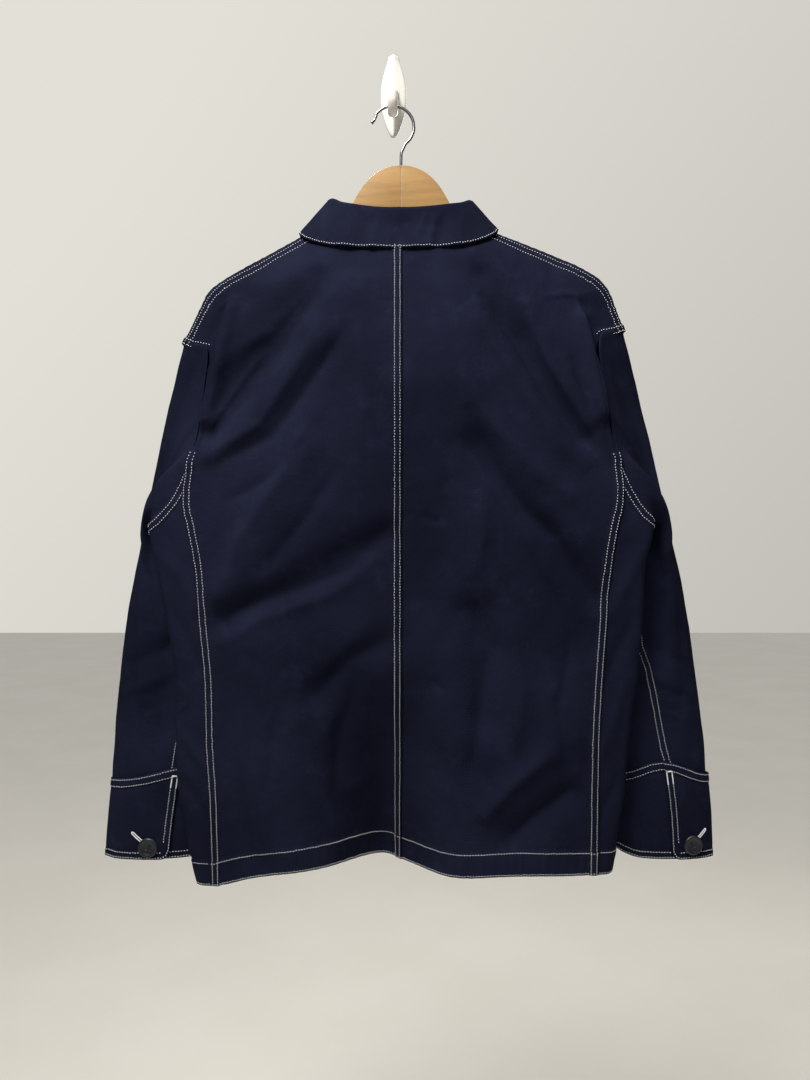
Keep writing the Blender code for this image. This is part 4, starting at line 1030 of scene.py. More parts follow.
def as_mesh(name: str, data: bpy.types.Curve, material: bpy.types.Material,
            spots: Sequence, closed: bool = False) -> bpy.types.Object:
    """Mesh of a curve's data, once it has its one straight-edged line through spots in mm."""
    line = data.splines.new("POLY")
    line.points.add(len(spots) - 1)
    line.use_cyclic_u = closed
    for point, (*spot, size) in zip(line.points, spots):
        point.co = (*(float(value) * MM for value in spot), 1.0)
        point.radius = size
    choose(link(name, data, material))
    bpy.ops.object.convert(target="MESH")
    item = bpy.context.view_layer.objects.active
    deselect()
    return item


def joined(items: Sequence[bpy.types.Object], name: str) -> bpy.types.Object:
    """Join meshes into the first of them."""
    choose(*items)
    bpy.ops.object.join()
    whole = bpy.context.view_layer.objects.active
    whole.name = whole.data.name = name
    deselect()
    return whole


def mesh_from(name: str, points: np.ndarray, faces: Sequence) -> bpy.types.Mesh:
    """Smooth mesh from points in millimetres."""
    data = bpy.data.meshes.new(name)
    data.from_pydata((np.asarray(points) * MM).tolist(), [], faces)
    data.shade_smooth()
    return data


def quads_of(grids: Sequence[Grid]) -> tuple[np.ndarray, np.ndarray]:
    """All points of some grids, and the corner numbers of their quads, seen from outside."""
    faces, start = [], 0
    for grid in grids:
        rows, columns = grid.points.shape[:2]
        row, col = np.meshgrid(np.arange(rows - 1), np.arange(columns - 1), indexing="ij")
        first = (row * columns + col).ravel() + start
        quads = np.stack([first, first + columns, first + columns + 1, first + 1], axis=1)
        faces.append(quads[:, ::-1] if grid.outward > 0 else quads)
        start += rows * columns
    return np.concatenate([grid.points.reshape(-1, 3) for grid in grids]), np.concatenate(faces)


def shell(name: str, grids: Sequence[Grid], thickness: float, material: bpy.types.Material,
          centred: bool = False) -> bpy.types.Object:
    """Thin shell of cloth on one or more grids that share their edges.

    Args:
        name: Name of the new object.
        grids: Grids of its outer surface.
        thickness: Thickness of the cloth, in millimetres.
        material: Its material; the UVs are the cut cloth's own sizes, in metres.
        centred: Whether the grid is the middle of the cloth and not its outer surface.
    """
    points, faces = quads_of(grids)
    flat = [np.stack([grid.lengths(1), -grid.lengths(0)], axis=-1).reshape(-1, 2)
            for grid in grids]
    flat = np.concatenate(flat) * MM
    data = mesh_from(name, points, faces.tolist())
    layer = data.uv_layers.new(name="cut")
    corners = np.zeros(len(data.loops), np.int32)
    data.loops.foreach_get("vertex_index", corners)
    layer.data.foreach_set("uv", flat[corners].astype(np.float32).ravel())
    if len(grids) > 1:
        mesh = bmesh.new()
        mesh.from_mesh(data)
        bmesh.ops.remove_doubles(mesh, verts=mesh.verts, dist=0.00003)
        mesh.to_mesh(data)
        mesh.free()
    item = link(name, data, material)
    wall = item.modifiers.new("thickness", "SOLIDIFY")
    wall.thickness = thickness * MM
    wall.offset = 0.0 if centred else -1.0
    return apply_modifiers(item)


class Skin:
    """The outer surface of finished cloth, on which sewing is laid."""

    def __init__(self, grids: Sequence[Grid]) -> None:
        """Keep the grids' faces for nearest-point searches."""
        points, faces = quads_of(grids)
        self.tree = BVHTree.FromPolygons(points.tolist(), faces.tolist())

    def snap(self, points: np.ndarray) -> tuple[np.ndarray, np.ndarray]:
        """Nearest points of the surface, and its outward normals there."""
        found = [self.tree.find_nearest(Vector(point)) for point in points]
        return (np.array([tuple(hit[0]) for hit in found]),
                np.array([tuple(hit[1]) for hit in found]))

    def beside(self, route: np.ndarray, distance: float | np.ndarray,
               toward: np.ndarray) -> np.ndarray:
        """A route moved sideways over the surface, to the side on which a given point lies.

        Args:
            route: Points on or near the surface.
            distance: How far it moves, once for all points or for each.
            toward: A point on the side to which it moves.
        """
        moved, normals = self.snap(route)
        sideways = unit(np.cross(normals, unit(np.gradient(moved, axis=0))))
        middle = len(route) // 2
        if float(sideways[middle].dot(toward - moved[middle])) < 0.0:
            sideways = -sideways
        steps = max(1, int(math.ceil(np.max(distance) / 3.0)))
        for _ in range(steps):
            moved, normals = self.snap(moved + sideways * distance / steps)
            sideways = unit(sideways - normals * np.sum(sideways * normals, axis=1)[:, None])
        return moved


# ------------------------------------------------------------------ sewing
@dataclass
class Sewing:
    """Collects stitches and makes one mesh of them for each piece of the jacket."""

    name: str
    centres: list = field(default_factory=list)
    alongs: list = field(default_factory=list)
    normals: list = field(default_factory=list)
    sizes: list = field(default_factory=list)

    # along a stitch: place, thickness and sink of the rings of its thread
    RINGS = ((-0.86, 0.72, -0.42), (-0.35, 1.0, 0.0), (0.35, 1.0, 0.0), (0.86, 0.72, -0.42))
    SIDES = 6
    FLATNESS = 0.62       # height of the thread to its width
    SINK = 1.1            # its ends dive this far, in half heights
    RISE = 0.45           # and its middle stands up this far

    def row(self, skin: Skin, route: np.ndarray, pitch: float = STITCH_PITCH,
            length: float = STITCH_LENGTH, width: float = THREAD, wander: float = 0.16,
            satin: bool = False) -> None:
        """A row of straight stitches along a route.

        Args:
            skin: Surface on which they lie.
            route: Points along the row, in millimetres.
            pitch: Distance between the stitches.
            length: Length of one stitch.
            width: Half of the thread's width.
            wander: How far the row strays from its line.
            satin: Whether the stitches lie across the row, side by side.
        """
        total = lengths_of(route)
        count = max(1, int(total[-1] / pitch))
        at = (np.arange(count) + 0.5) * total[-1] / count
        keep = np.concatenate([[True], np.diff(total) > 1e-6])
        spots = np.stack([np.interp(at, total[keep], column_[keep]) for column_ in route.T], -1)
        random = np.random.default_rng(count * 7 + len(self.centres))
        spots, normals = skin.snap(spots)
        along = unit(np.gradient(spots, axis=0)) if count > 1 else unit(route[-1:] - route[:1])
        spots = spots + np.cross(normals, along) * random.normal(0.0, wander, (count, 1))
        if satin:
            along = np.cross(normals, along)
        self.centres.append(spots)
        self.alongs.append(along)
        self.normals.append(normals)
        self.sizes.append(np.tile((length / 2.0, width, width * self.FLATNESS), (count, 1)))

    def beside(self, skin: Skin, edge: np.ndarray, toward: np.ndarray,
               distances: Sequence[float | np.ndarray] = (ROW_NEAR, ROW_FAR)) -> None:
        """Rows beside an edge, towards a point; a felled seam has two."""
        for distance in distances:
            self.row(skin, skin.beside(edge, distance, toward))

    def satin(self, skin: Skin, route: np.ndarray, pitch: float, length: float,
              width: float) -> None:
        """Stitches that lie across a route, side by side."""
        self.row(skin, route, pitch, length, width, wander=0.05, satin=True)

    def build(self, material: bpy.types.Material) -> bpy.types.Object:
        """Make the mesh: each stitch is a small pillow of thread whose ends dive into the cloth."""
        spots, along = np.concatenate(self.centres), unit(np.concatenate(self.alongs))
        normal, sizes = np.concatenate(self.normals), np.concatenate(self.sizes)
        across = unit(np.cross(normal, along))
        normal = np.cross(along, across)
        sides, rings = self.SIDES, len(self.RINGS)
        half, wide, high = along * sizes[:, :1], across * sizes[:, 1:2], normal * sizes[:, 2:]
        parts = [spots - half - high * self.SINK]
        for shift, swell, sink in self.RINGS:
            for turn in 2.0 * math.pi * np.arange(sides) / sides:
                parts.append(spots + half * shift + wide * swell * math.cos(turn)
                             + high * (swell * math.sin(turn) + sink + self.RISE))
        parts.append(spots + half - high * self.SINK)
        each = len(parts)
        points = np.stack(parts, axis=1).reshape(-1, 3)
        caps, sleeves = [], []
        for k in range(sides):
            after = (k + 1) % sides
            caps.append((0, 1 + after, 1 + k))
            last = 1 + (rings - 1) * sides
            caps.append((each - 1, last + k, last + after))
            for ring in range(rings - 1):
                base = 1 + ring * sides
                sleeves.append((base + k, base + after, base + sides + after, base + sides + k))
        start = (np.arange(len(spots)) * each)[:, None, None]
        faces = (np.array(caps)[None] + start).reshape(-1, 3).tolist()
        faces += (np.array(sleeves)[None] + start).reshape(-1, 4).tolist()
        return link(self.name, mesh_from(self.name, points, faces), material)


# ------------------------------------------------------------------ creases, from the centre line
BACK_CREASES = (
    # left half, from the shoulder down to the hem
    Crease(((-185, -256), (-187, -269), (-197, -298), (-204, -332), (-209, -364), (-214, -398),
            (-219, -430)), 3.4, 7.5, True),
    Crease(((-166, -259), (-180, -261), (-194, -266)), 3.0, 1.8),
    Crease(((-195, -268), (-207, -298), (-215, -326)), 5.0, -3.0),
    Crease(((-88, -247), (-136, -299), (-175, -322), (-203, -352)), 9.0, 2.6),
    Crease(((-76, -247), (-100, -283), (-124, -318), (-158, -356)), 6.5, -3.2),
    Crease(((-150, -358), (-176, -388), (-200, -418)), 4.5, -2.0),
    Crease(((-140, -318), (-163, -348), (-186, -379), (-207, -411)), 5.5, 3.6),
    Crease(((-78, -286), (-93, -318), (-120, -361), (-148, -401), (-221, -444)), 7.0, 3.2),
    Crease(((-43, -284), (-86, -348), (-133, -412), (-212, -452)), 7.0, -3.0),
    Crease(((-81, -377), (-105, -416), (-136, -474), (-169, -523), (-196, -590)), 8.0, 3.2),
    Crease(((-97, -416), (-137, -459), (-188, -485)), 7.0, -2.6),
    Crease(((-60, -440), (-104, -510), (-150, -560)), 8.0, -2.6),
    Crease(((-9, -512), (-54, -554), (-114, -577), (-196, -606)), 10.0, -5.0),
    Crease(((-20, -540), (-70, -580), (-140, -604), (-200, -640)), 8.0, 2.8),
    Crease(((-9, -625), (-54, -650), (-90, -690)), 9.0, -3.4),
    Crease(((-39, -662), (-62, -730), (-66, -797), (-44, -850)), 12.0, -5.4),
    Crease(((-100, -640), (-112, -730), (-100, -850)), 11.0, 2.8),
    Crease(((-160, -650), (-168, -740), (-150, -860)), 8.0, 2.2),
    Crease(((-128, -700), (-140, -790), (-126, -870)), 7.0, -2.4),
    Crease(((-40, -280), (-34, -380), (-46, -460)), 10.0, 1.4),
    # right half
    Crease(((234, -428), (227, -396), (223, -362), (216, -327), (207, -295), (198, -268),
            (197, -255)), 3.4, 7.5, True),
    Crease(((152, -262), (178, -257), (206, -258)), 3.0, 1.8),
    Crease(((83, -262), (126, -309), (158, -365), (190, -408), (214, -434)), 9.0, -6.4),
    Crease(((72, -272), (107, -324), (137, -371), (167, -415), (204, -448)), 13.0, 6.0),
    Crease(((136, -280), (163, -338), (192, -384), (218, -422)), 7.0, 5.0),
    Crease(((184, -326), (204, -372), (220, -406)), 5.0, -3.2),
    Crease(((204, -262), (216, -298), (224, -334)), 6.0, -4.0),
    Crease(((64, -336), (92, -392), (134, -440), (190, -484)), 10.0, 4.0),
    Crease(((70, -380), (98, -444), (132, -490), (166, -520), (196, -568), (213, -602)),
           10.0, -6.4),
    Crease(((60, -420), (118, -490), (160, -556), (200, -610)), 8.0, 3.6),
    Crease(((82, -470), (88, -520), (80, -566)), 9.0, 3.6),
    Crease(((76, -587), (98, -640), (88, -720), (71, -800)), 12.0, -6.0),
    Crease(((120, -600), (132, -680), (116, -790)), 9.0, 3.6),
    Crease(((168, -745), (120, -784), (86, -822)), 8.0, 3.9),
    Crease(((190, -790), (150, -812), (112, -850)), 7.0, -3.9),
    Crease(((27, -494), (34, -502), (44, -506)), 3.5, -1.4),
    Crease(((36, -668), (42, -678), (50, -684)), 3.5, -1.4),
    Crease(((186, -620), (172, -700), (184, -800)), 7.0, -2.9),
    Crease(((30, -300), (22, -400), (30, -480)), 10.0, -1.4),
)
FRONT_CREASES = (
    Crease(((-196, -300), (-150, -360), (-96, -452)), 9.0, -3.0),
    Crease(((-204, -340), (-160, -410), (-100, -500)), 8.0, 2.6),
    Crease(((-190, -430), (-150, -480), (-90, -540)), 8.0, -2.2),
    Crease(((-180, -560), (-120, -600), (-60, -620)), 8.0, 1.8),
    Crease(((-140, -600), (-120, -720), (-132, -850)), 10.0, 2.4),
    Crease(((-80, -640), (-86, -740), (-74, -850)), 9.0, -2.2),
    Crease(((198, -300), (154, -366), (100, -460)), 9.0, -3.0),
    Crease(((210, -350), (164, -420), (104, -506)), 8.0, 2.6),
    Crease(((196, -440), (150, -492), (96, -548)), 8.0, -2.2),
    Crease(((184, -566), (124, -606), (60, -630)), 8.0, 1.8),
    Crease(((144, -604), (124, -724), (138, -850)), 10.0, 2.4),
    Crease(((84, -640), (90, -744), (78, -850)), 9.0, -2.2),
    Crease(((-30, -320), (-60, -372), (-110, -410)), 7.0, -1.4),
    Crease(((30, -330), (62, -384), (112, -420)), 7.0, -1.4),
)
# The strips of the fronts that wrap to the back, between the side seams and the silhouette.
STRIP_CREASES = (
    Crease(((-240, -676), (-229, -688), (-229, -700), (-238, -708)), 3.0, 1.8),
    Crease(((-232, -730), (-220, -752), (-203, -776)), 6.0, 2.4),
    Crease(((-240, -780), (-222, -800), (-204, -836)), 7.0, -2.2),
    Crease(((-262, -530), (-236, -560), (-214, -606)), 8.0, 2.4),
    Crease(((-250, -590), (-230, -622), (-212, -670)), 7.0, -2.2),
    Crease(((268, -528), (246, -566), (226, -612)), 8.0, 2.6),
    Crease(((258, -598), (238, -640), (214, -690)), 8.0, -2.4),
    Crease(((250, -660), (232, -720), (214, -770)), 8.0, 2.2),
    Crease(((244, -770), (226, -806), (208, -850)), 7.0, -2.0),
)
# Sleeves: places are (sleeve angle in degrees, height z).
SLEEVE_CREASES = (
    Crease(((20, -430), (70, -520), (120, -600)), 9.0, -2.6),
    Crease(((10, -470), (60, -560), (130, -640)), 9.0, 2.4),
    Crease(((150, -590), (90, -640), (30, -668)), 8.0, -2.4),
    Crease(((140, -628), (80, -676), (24, -700)), 8.0, 2.2),
    Crease(((60, -690), (80, -740), (70, -770)), 9.0, -1.6),
    Crease(((200, -560), (260, -620), (330, -650)), 9.0, -2.4),
    Crease(((190, -620), (260, -668), (340, -690)), 9.0, 2.2),
    Crease(((230, -700), (280, -740), (330, -756)), 8.0, -1.8),
    Crease(((300, -420), (270, -500), (250, -580)), 9.0, 2.4),
    Crease(((44, -560), (50, -640), (62, -730)), 4.0, 1.2),
    Crease(((84, -690), (76, -716), (60, -738)), 4.0, 1.3),
)


# ------------------------------------------------------------------ cloth pieces
@dataclass
class Piece:
    """A finished sheet of cloth, its outer surface and the size it was cut to, in metres."""

    item: bpy.types.Object
    skin: Skin
    flat: tuple[float, float]
    area: float


def finished(name: str, grids: Sequence[Grid], thickness: float, material: bpy.types.Material,
             centred: bool = False) -> Piece:
    """Make a shell and measure the cut that it needed."""
    area, width, length = 0.0, 0.0, 0.0
    for grid in grids:
        a = grid.points[1:, 1:] - grid.points[:-1, :-1]
        b = grid.points[1:, :-1] - grid.points[:-1, 1:]
        area += float(np.linalg.norm(np.cross(a, b), axis=2).sum()) / 2.0
        width = max(width, float(grid.lengths(1)[:, -1].max()))
        length += float(grid.lengths(0)[-1].max())
    item = shell(name, grids, thickness, material, centred)
    flat = (round(width * MM, 3), round(max(length * MM, area * MM * MM / (width * MM)), 3))
    return Piece(item, Skin(grids), flat, round(area * MM * MM, 4))


def seen_edge(grid: Grid, columns: slice) -> np.ndarray:
    """Where a surface first turns into the camera's view, for each of some columns."""
    way = unit(np.asarray(Studio.EYE) / MM - grid.points)
    facing = np.sum(grid.normals() * way, axis=2) > 0.08
    first = np.argmax(facing, axis=0)
    return grid.points[first, np.arange(len(first))][columns]


@dataclass
class BackPanel:
    """One half of the back."""

    side: Side
    material: bpy.types.Material

    def build(self, sewing: Sewing) -> Piece:
        """Make the panel with its felled seams, hem and folds, and sew it."""
        side = self.side
        over = side is LEFT
        lap = CENTRE_LAP if over else CENTRE_TUCK
        base = back_grid(side, lap)
        points = base.points
        centre, shoulder, hem = points[:, 0], points[0, BACK_NECK_COLUMNS - 1:], points[-1]
        arm, seam = points[:BACK_ARM_ROWS, -1], points[BACK_ARM_ROWS - 1:, -1]
        x, z = points[..., 0] - CENTRE_X, points[..., 2]
        to_edge = distance_to(points[:, -1][::4], points)[0]
        calm = smooth(to_edge / CALM) * smooth((NECK_BACK_Z + 18.0 - z) / 30.0)
        height = crease_height(BACK_CREASES, x, z) + hand_wrinkles(x, z, BACK_SEED) * calm
        bands = [Fell(seam), Fell(shoulder, height=1.0, pucker=0.25),
                 Fell(arm, height=1.0, pucker=0.25), Fell(hem, HEM_WIDTH, 0.8, 0.45, 12.0)]
        if over:
            bands.append(Fell(centre))
        grid = base.raised(height + sum(band.height_at(points) for band in bands))
        piece = finished(f"back_{side.name}_cloth", [grid], CLOTH, self.material)
        self.sew(sewing, piece.skin, grid)
        return piece

    def sew(self, sewing: Sewing, skin: Skin, grid: Grid) -> None:
        """Lay the rows of the centre, the side, the shoulder, the armhole and the hem."""
        final = grid.points
        toward = final[len(final) // 2, len(final[0]) // 2]
        if self.side is LEFT:
            sewing.beside(skin, final[:, 0], toward, (ROW_NEAR + 0.6, ROW_FAR))
        sewing.beside(skin, final[BACK_ARM_ROWS - 1:, -1], toward)
        ridge = seen_edge(grid, slice(BACK_NECK_COLUMNS + 1, None))
        inward = smooth(np.linspace(-0.35, 1.0, len(ridge)))[:, None]
        sewing.beside(skin, ridge, toward, [at_neck + (at_tip - at_neck) * inward
                                            for at_neck, at_tip in SHOULDER_ROWS])
        sewing.beside(skin, final[2:42, -1], final[20, 70], TIP_ROWS)
        hidden = int(np.argmax(final[:, -1, 2] < ARM_ROWS_FROM_Z))
        sewing.beside(skin, final[hidden:BACK_ARM_ROWS, -1], toward)
        sewing.beside(skin, final[-1], toward, HEM_ROWS)


@dataclass
class FrontPanel:
    """One front, with the strip that wraps round the side to the side seam."""

    side: Side
    material: bpy.types.Material

    def build(self, sewing: Sewing) -> Piece:
        """Make the front with its placket edge, hem and folds, and sew it."""
        side = self.side
        upper, lower = front_grids(side)
        grids = []
        strip_edge = lower.points[:, 0]
        bands = [Fell(self.opening(upper, lower), PLACKET_WIDTH, 0.7, 0.12, 14.0),
                 Fell(lower.points[0, :STRIP_COLUMNS], height=1.0, pucker=0.25),
                 Fell(lower.points[-1], HEM_WIDTH, 0.8, 0.4, 12.0)]
        for base in (upper, lower):
            x, z = base.points[..., 0] - CENTRE_X, base.points[..., 2]
            facing = smooth((base.points[..., 1] - FACE_FROM_Y) / FACE_OVER)
            to_edge = distance_to(strip_edge[::8], base.points)[0]
            height = crease_height(FRONT_CREASES, x, z) * facing
            height = height + crease_height(STRIP_CREASES, x, z) * (1.0 - facing)
            calm = smooth((to_edge - SIDE_TUCK) / CALM)
            height = height + hand_wrinkles(x, z, FRONT_SEED) * calm
            height = height + sum(band.height_at(base.points) for band in bands)
            tucked = 1.0 - smooth((to_edge - SIDE_TUCK - 1.0) / 4.0)
            grids.append(base.raised(height * (1.0 - tucked)))
        piece = finished(f"front_{side.name}_cloth", grids, CLOTH, self.material)
        self.sew(sewing, piece.skin, *grids)
        return piece

    def opening(self, upper: Grid, lower: Grid) -> np.ndarray:
        """The front's edge from the neck down to the hem."""
        return np.concatenate([upper.points[:-1, -1], lower.points[:, -1]])

    def sew(self, sewing: Sewing, skin: Skin, upper: Grid, lower: Grid) -> None:
        """Lay the rows of the opening, the armhole's two parts and the hem."""
        middle = lower.points[len(lower.points) // 2]
        face, strip = middle[50], middle[8]
        sewing.beside(skin, self.opening(upper, lower), face, (EDGE_ROW, PLACKET_WIDTH))
        sewing.beside(skin, lower.points[0, 1:STRIP_COLUMNS], strip)
        bottom = lower.points[0, STRIP_COLUMNS - 1:STRIP_COLUMNS + BOTTOM_COLUMNS]
        sewing.beside(skin, np.concatenate([upper.points[::-1, 0], bottom[::-1]]), face)
        sewing.beside(skin, lower.points[-1, 6:], face, HEM_ROWS)


@dataclass
class Sleeve:
    """One sleeve, from under the armhole's edge to inside its cuff."""

    cuff: CuffPlan
    material: bpy.types.Material

    def build(self, sewing: Sewing) -> Piece:
        """Make the sleeve with its creases and its back seam, and sew it."""
        side = self.cuff.side
        base = sleeve_grid(self.cuff)
        angle = np.degrees(armhole_ring(side)[1])
        z = base.points[..., 2]
        turn = np.broadcast_to(angle, z.shape)
        creases = [Crease(tuple((degrees * DEGREE, level) for degrees, level in crease.route),
                          crease.width, crease.height) for crease in SLEEVE_CREASES]
        height = crease_height(creases, turn * DEGREE, z)
        around = np.cos(np.radians(turn)) * SLEEVE_RADIUS
        height = height + hand_wrinkles(around + side.sign * SLEEVES_APART, z, SLEEVE_SEED)
        rows = np.arange(len(z))[:, None]
        calm = smooth((rows - 3) / 16.0) * smooth((len(z) - 1 - rows) / 14.0)
        seam = self.seam_route(base.points, angle)
        fell = Fell(seam, 4.8, 1.0, 0.22).height_at(base.points)
        grid = base.raised((height + fell) * calm)
        piece = finished(f"sleeve_{side.name}_cloth", [grid], CLOTH, self.material)
        middle = seam[len(seam) // 2]
        for way in (-1.0, 1.0):
            toward = middle + np.array((way * 60.0, 0.0, 0.0))
            sewing.beside(piece.skin, seam, toward, [SEAM_ROW])
        return piece

    def seam_route(self, points: np.ndarray, angle: np.ndarray) -> np.ndarray:
        """Middle of the seam, from the armhole to the cuff."""
        seam = self.cuff.seam
        route = []
        for line in points:
            z = float(line[:, 2].mean())
            if z < seam[0][1]:
                turn = np.interp(-z, [-knot[1] for knot in seam], [knot[0] for knot in seam])
                route.append([np.interp(turn, angle, line[:, axis]) for axis in range(3)])
        return np.array(route)


@dataclass
class Cuff:
    """One cuff, whose upper end laps over its under end and is buttoned."""

    plan: CuffPlan
    material: bpy.types.Material

    def build(self, sewing: Sewing) -> Piece:
        """Make the band and sew its edges."""
        base = cuff_grid(self.plan)
        points = base.points
        x, z = points[..., 0], points[..., 2]
        height = hand_wrinkles(x + 90.0, z, CUFF_SEED) * 0.55
        height = height + 0.9 + Fell(points[0], 10.0, 0.7, 0.2, 8.0).height_at(points)
        height = height + Fell(points[-1], 8.0, 0.3, 0.2, 9.0).height_at(points)
        grid = base.raised(height)
        name = f"cuff_{self.plan.side.name}_cloth"
        piece = finished(name, [grid], CUFF_CLOTH, self.material)
        self.sew(sewing, piece.skin, grid.points)
        return piece

    def sew(self, sewing: Sewing, skin: Skin, final: np.ndarray) -> None:
        """Lay the rows along the cuff's edges, its bartack and its buttonhole."""
        middle = final[len(final) // 2]
        inside = middle[len(middle) // 2]
        by_end = middle[-30]
        sewing.beside(skin, final[0], inside, CUFF_SEAM_ROWS)
        outline = np.concatenate([final[6:-1, -1], final[-1, ::-1]])
        sewing.beside(skin, outline, by_end, CUFF_SEAM_ROWS[:1])
        sewing.beside(skin, final[-1, :-4], inside, [CUFF_FAR_ROW])
        near, far = (skin.beside(final[6:-5, -1], distance, by_end) for distance in VENT_ROWS)
        sewing.row(skin, far)
        bar = np.linspace(near[0], far[0], 8)
        sewing.satin(skin, bar, pitch=0.8, length=1.6, width=0.5)
        for rail in (near, far):
            sewing.satin(skin, rail[:9], pitch=1.0, length=1.5, width=0.5)
        self.buttonhole(sewing, skin)

    def buttonhole(self, sewing: Sewing, skin: Skin) -> None:
        """Two satin rails and a pointed end, slanting up and out from the button."""
        plan = self.plan
        seat = sleeve_place(plan.side, math.radians(plan.button_angle), plan.button_z, CUFF_STEP)
        out = np.array((plan.side.sign * 0.75, 0.0, 0.66))
        up = np.array((-out[2] * plan.side.sign, 0.0, out[0] * plan.side.sign))
        start, end, apart, point = 6.0, 22.5, 1.15, 2.2
        routes = [[seat + out * reach + up * offset for reach in np.linspace(start, end, 24)]
                  for offset in (-apart, apart)]
        routes.append([seat + out * (end + point * math.sin(a)) + up * apart * math.cos(a)
                       for a in np.linspace(0.0, math.pi, 12)])
        for route in routes:
            sewing.satin(skin, np.array(route), pitch=0.62, length=1.5, width=0.42)


# Soft dents across the collar's fall at the back: reach from the centre, width and height.
COLLAR_DENTS = (
    (-52.0, 8.0, 1.3), (-34.0, 6.0, -1.2), (-22.0, 5.0, 1.0), (4.0, 9.0, -1.6), (24.0, 7.0, 1.1),
    (37.0, 4.0, 1.2), (46.0, 6.0, -1.0), (-70.0, 7.0, -0.9), (66.0, 8.0, 0.9),
)


@dataclass
class Collar:
    """The collar: a stand round the neck and a fall that turns over it."""

    sides: tuple[Side, Side]
    material: bpy.types.Material

    DROOP = 3.6           # its middle hangs this much lower, over this width
    DROOP_WIDTH = 48.0
    SKEW = 0.25           # the dents lean
    PUCKER = 0.30         # height and pitch of the puckers along its edge
    PUCKER_PITCH = 10.0

    def build(self, sewing: Sewing) -> Piece:
        """Make the collar with its soft dents and sew along its edge."""
        base = collar_grid(*self.sides)
        points = base.points
        from_middle = (points[..., 0] - CENTRE_X + 2.0) / self.DROOP_WIDTH
        droop = self.DROOP * np.exp(-(from_middle ** 2))
        points[..., 2] -= droop * smooth((points[..., 2] + 215.0) / 38.0)
        rows, columns = points.shape[:2]
        x, z = points[..., 0] - CENTRE_X, points[..., 2]
        on_fall = smooth((np.arange(columns) - 22.0) / 12.0)[None]
        dents = sum(size * np.exp(-(((x - at - self.SKEW * (z + 190.0)) / wide) ** 2))
                    for at, wide, size in COLLAR_DENTS)
        behind = smooth((-60.0 - points[..., 1]) / 20.0)
        near_edge = np.exp(-(((np.arange(columns) - columns + 5.0) / 5.0) ** 2))[None]
        row = lengths_of(points[:, -1])[:, None]
        phase = 2.0 * math.pi * row / self.PUCKER_PITCH + 2.0 * noise(row / 30.0, row * 0.0, 3)
        pucker = self.PUCKER * np.sin(phase)
        height = dents * on_fall * behind + hand_wrinkles(x, z, COLLAR_SEED) * 0.5 * on_fall
        grid = base.raised(height + pucker * near_edge)
        piece = finished("collar_cloth", [grid], 2.0 * CLOTH, self.material, centred=True)
        outer = Grid(grid.points + grid.normals() * CLOTH, grid.outward)
        piece.skin = Skin([outer])
        edge = outer.points[:, -1]
        toward = outer.points[rows // 2, columns - 12]
        sewing.beside(piece.skin, edge, toward, [COLLAR_ROW])
        return piece


# ------------------------------------------------------------------ buttons, hanger and hooks
def tube(name: str, points: Sequence, radius: float, material: bpy.types.Material,
         radii: Sequence[float] = ()) -> bpy.types.Object:
    """Round rod along points in millimetres, as a mesh; radii scale it point by point."""
    data = bpy.data.curves.new(name, "CURVE")
    data.dimensions = "3D"
    data.bevel_depth = radius * MM
    data.bevel_resolution = 6
    data.use_fill_caps = True
    radii = radii or [1.0] * len(points)
    item = as_mesh(name, data, material, [(*point, size) for point, size in zip(points, radii)])
    item.data.shade_smooth()
    return item


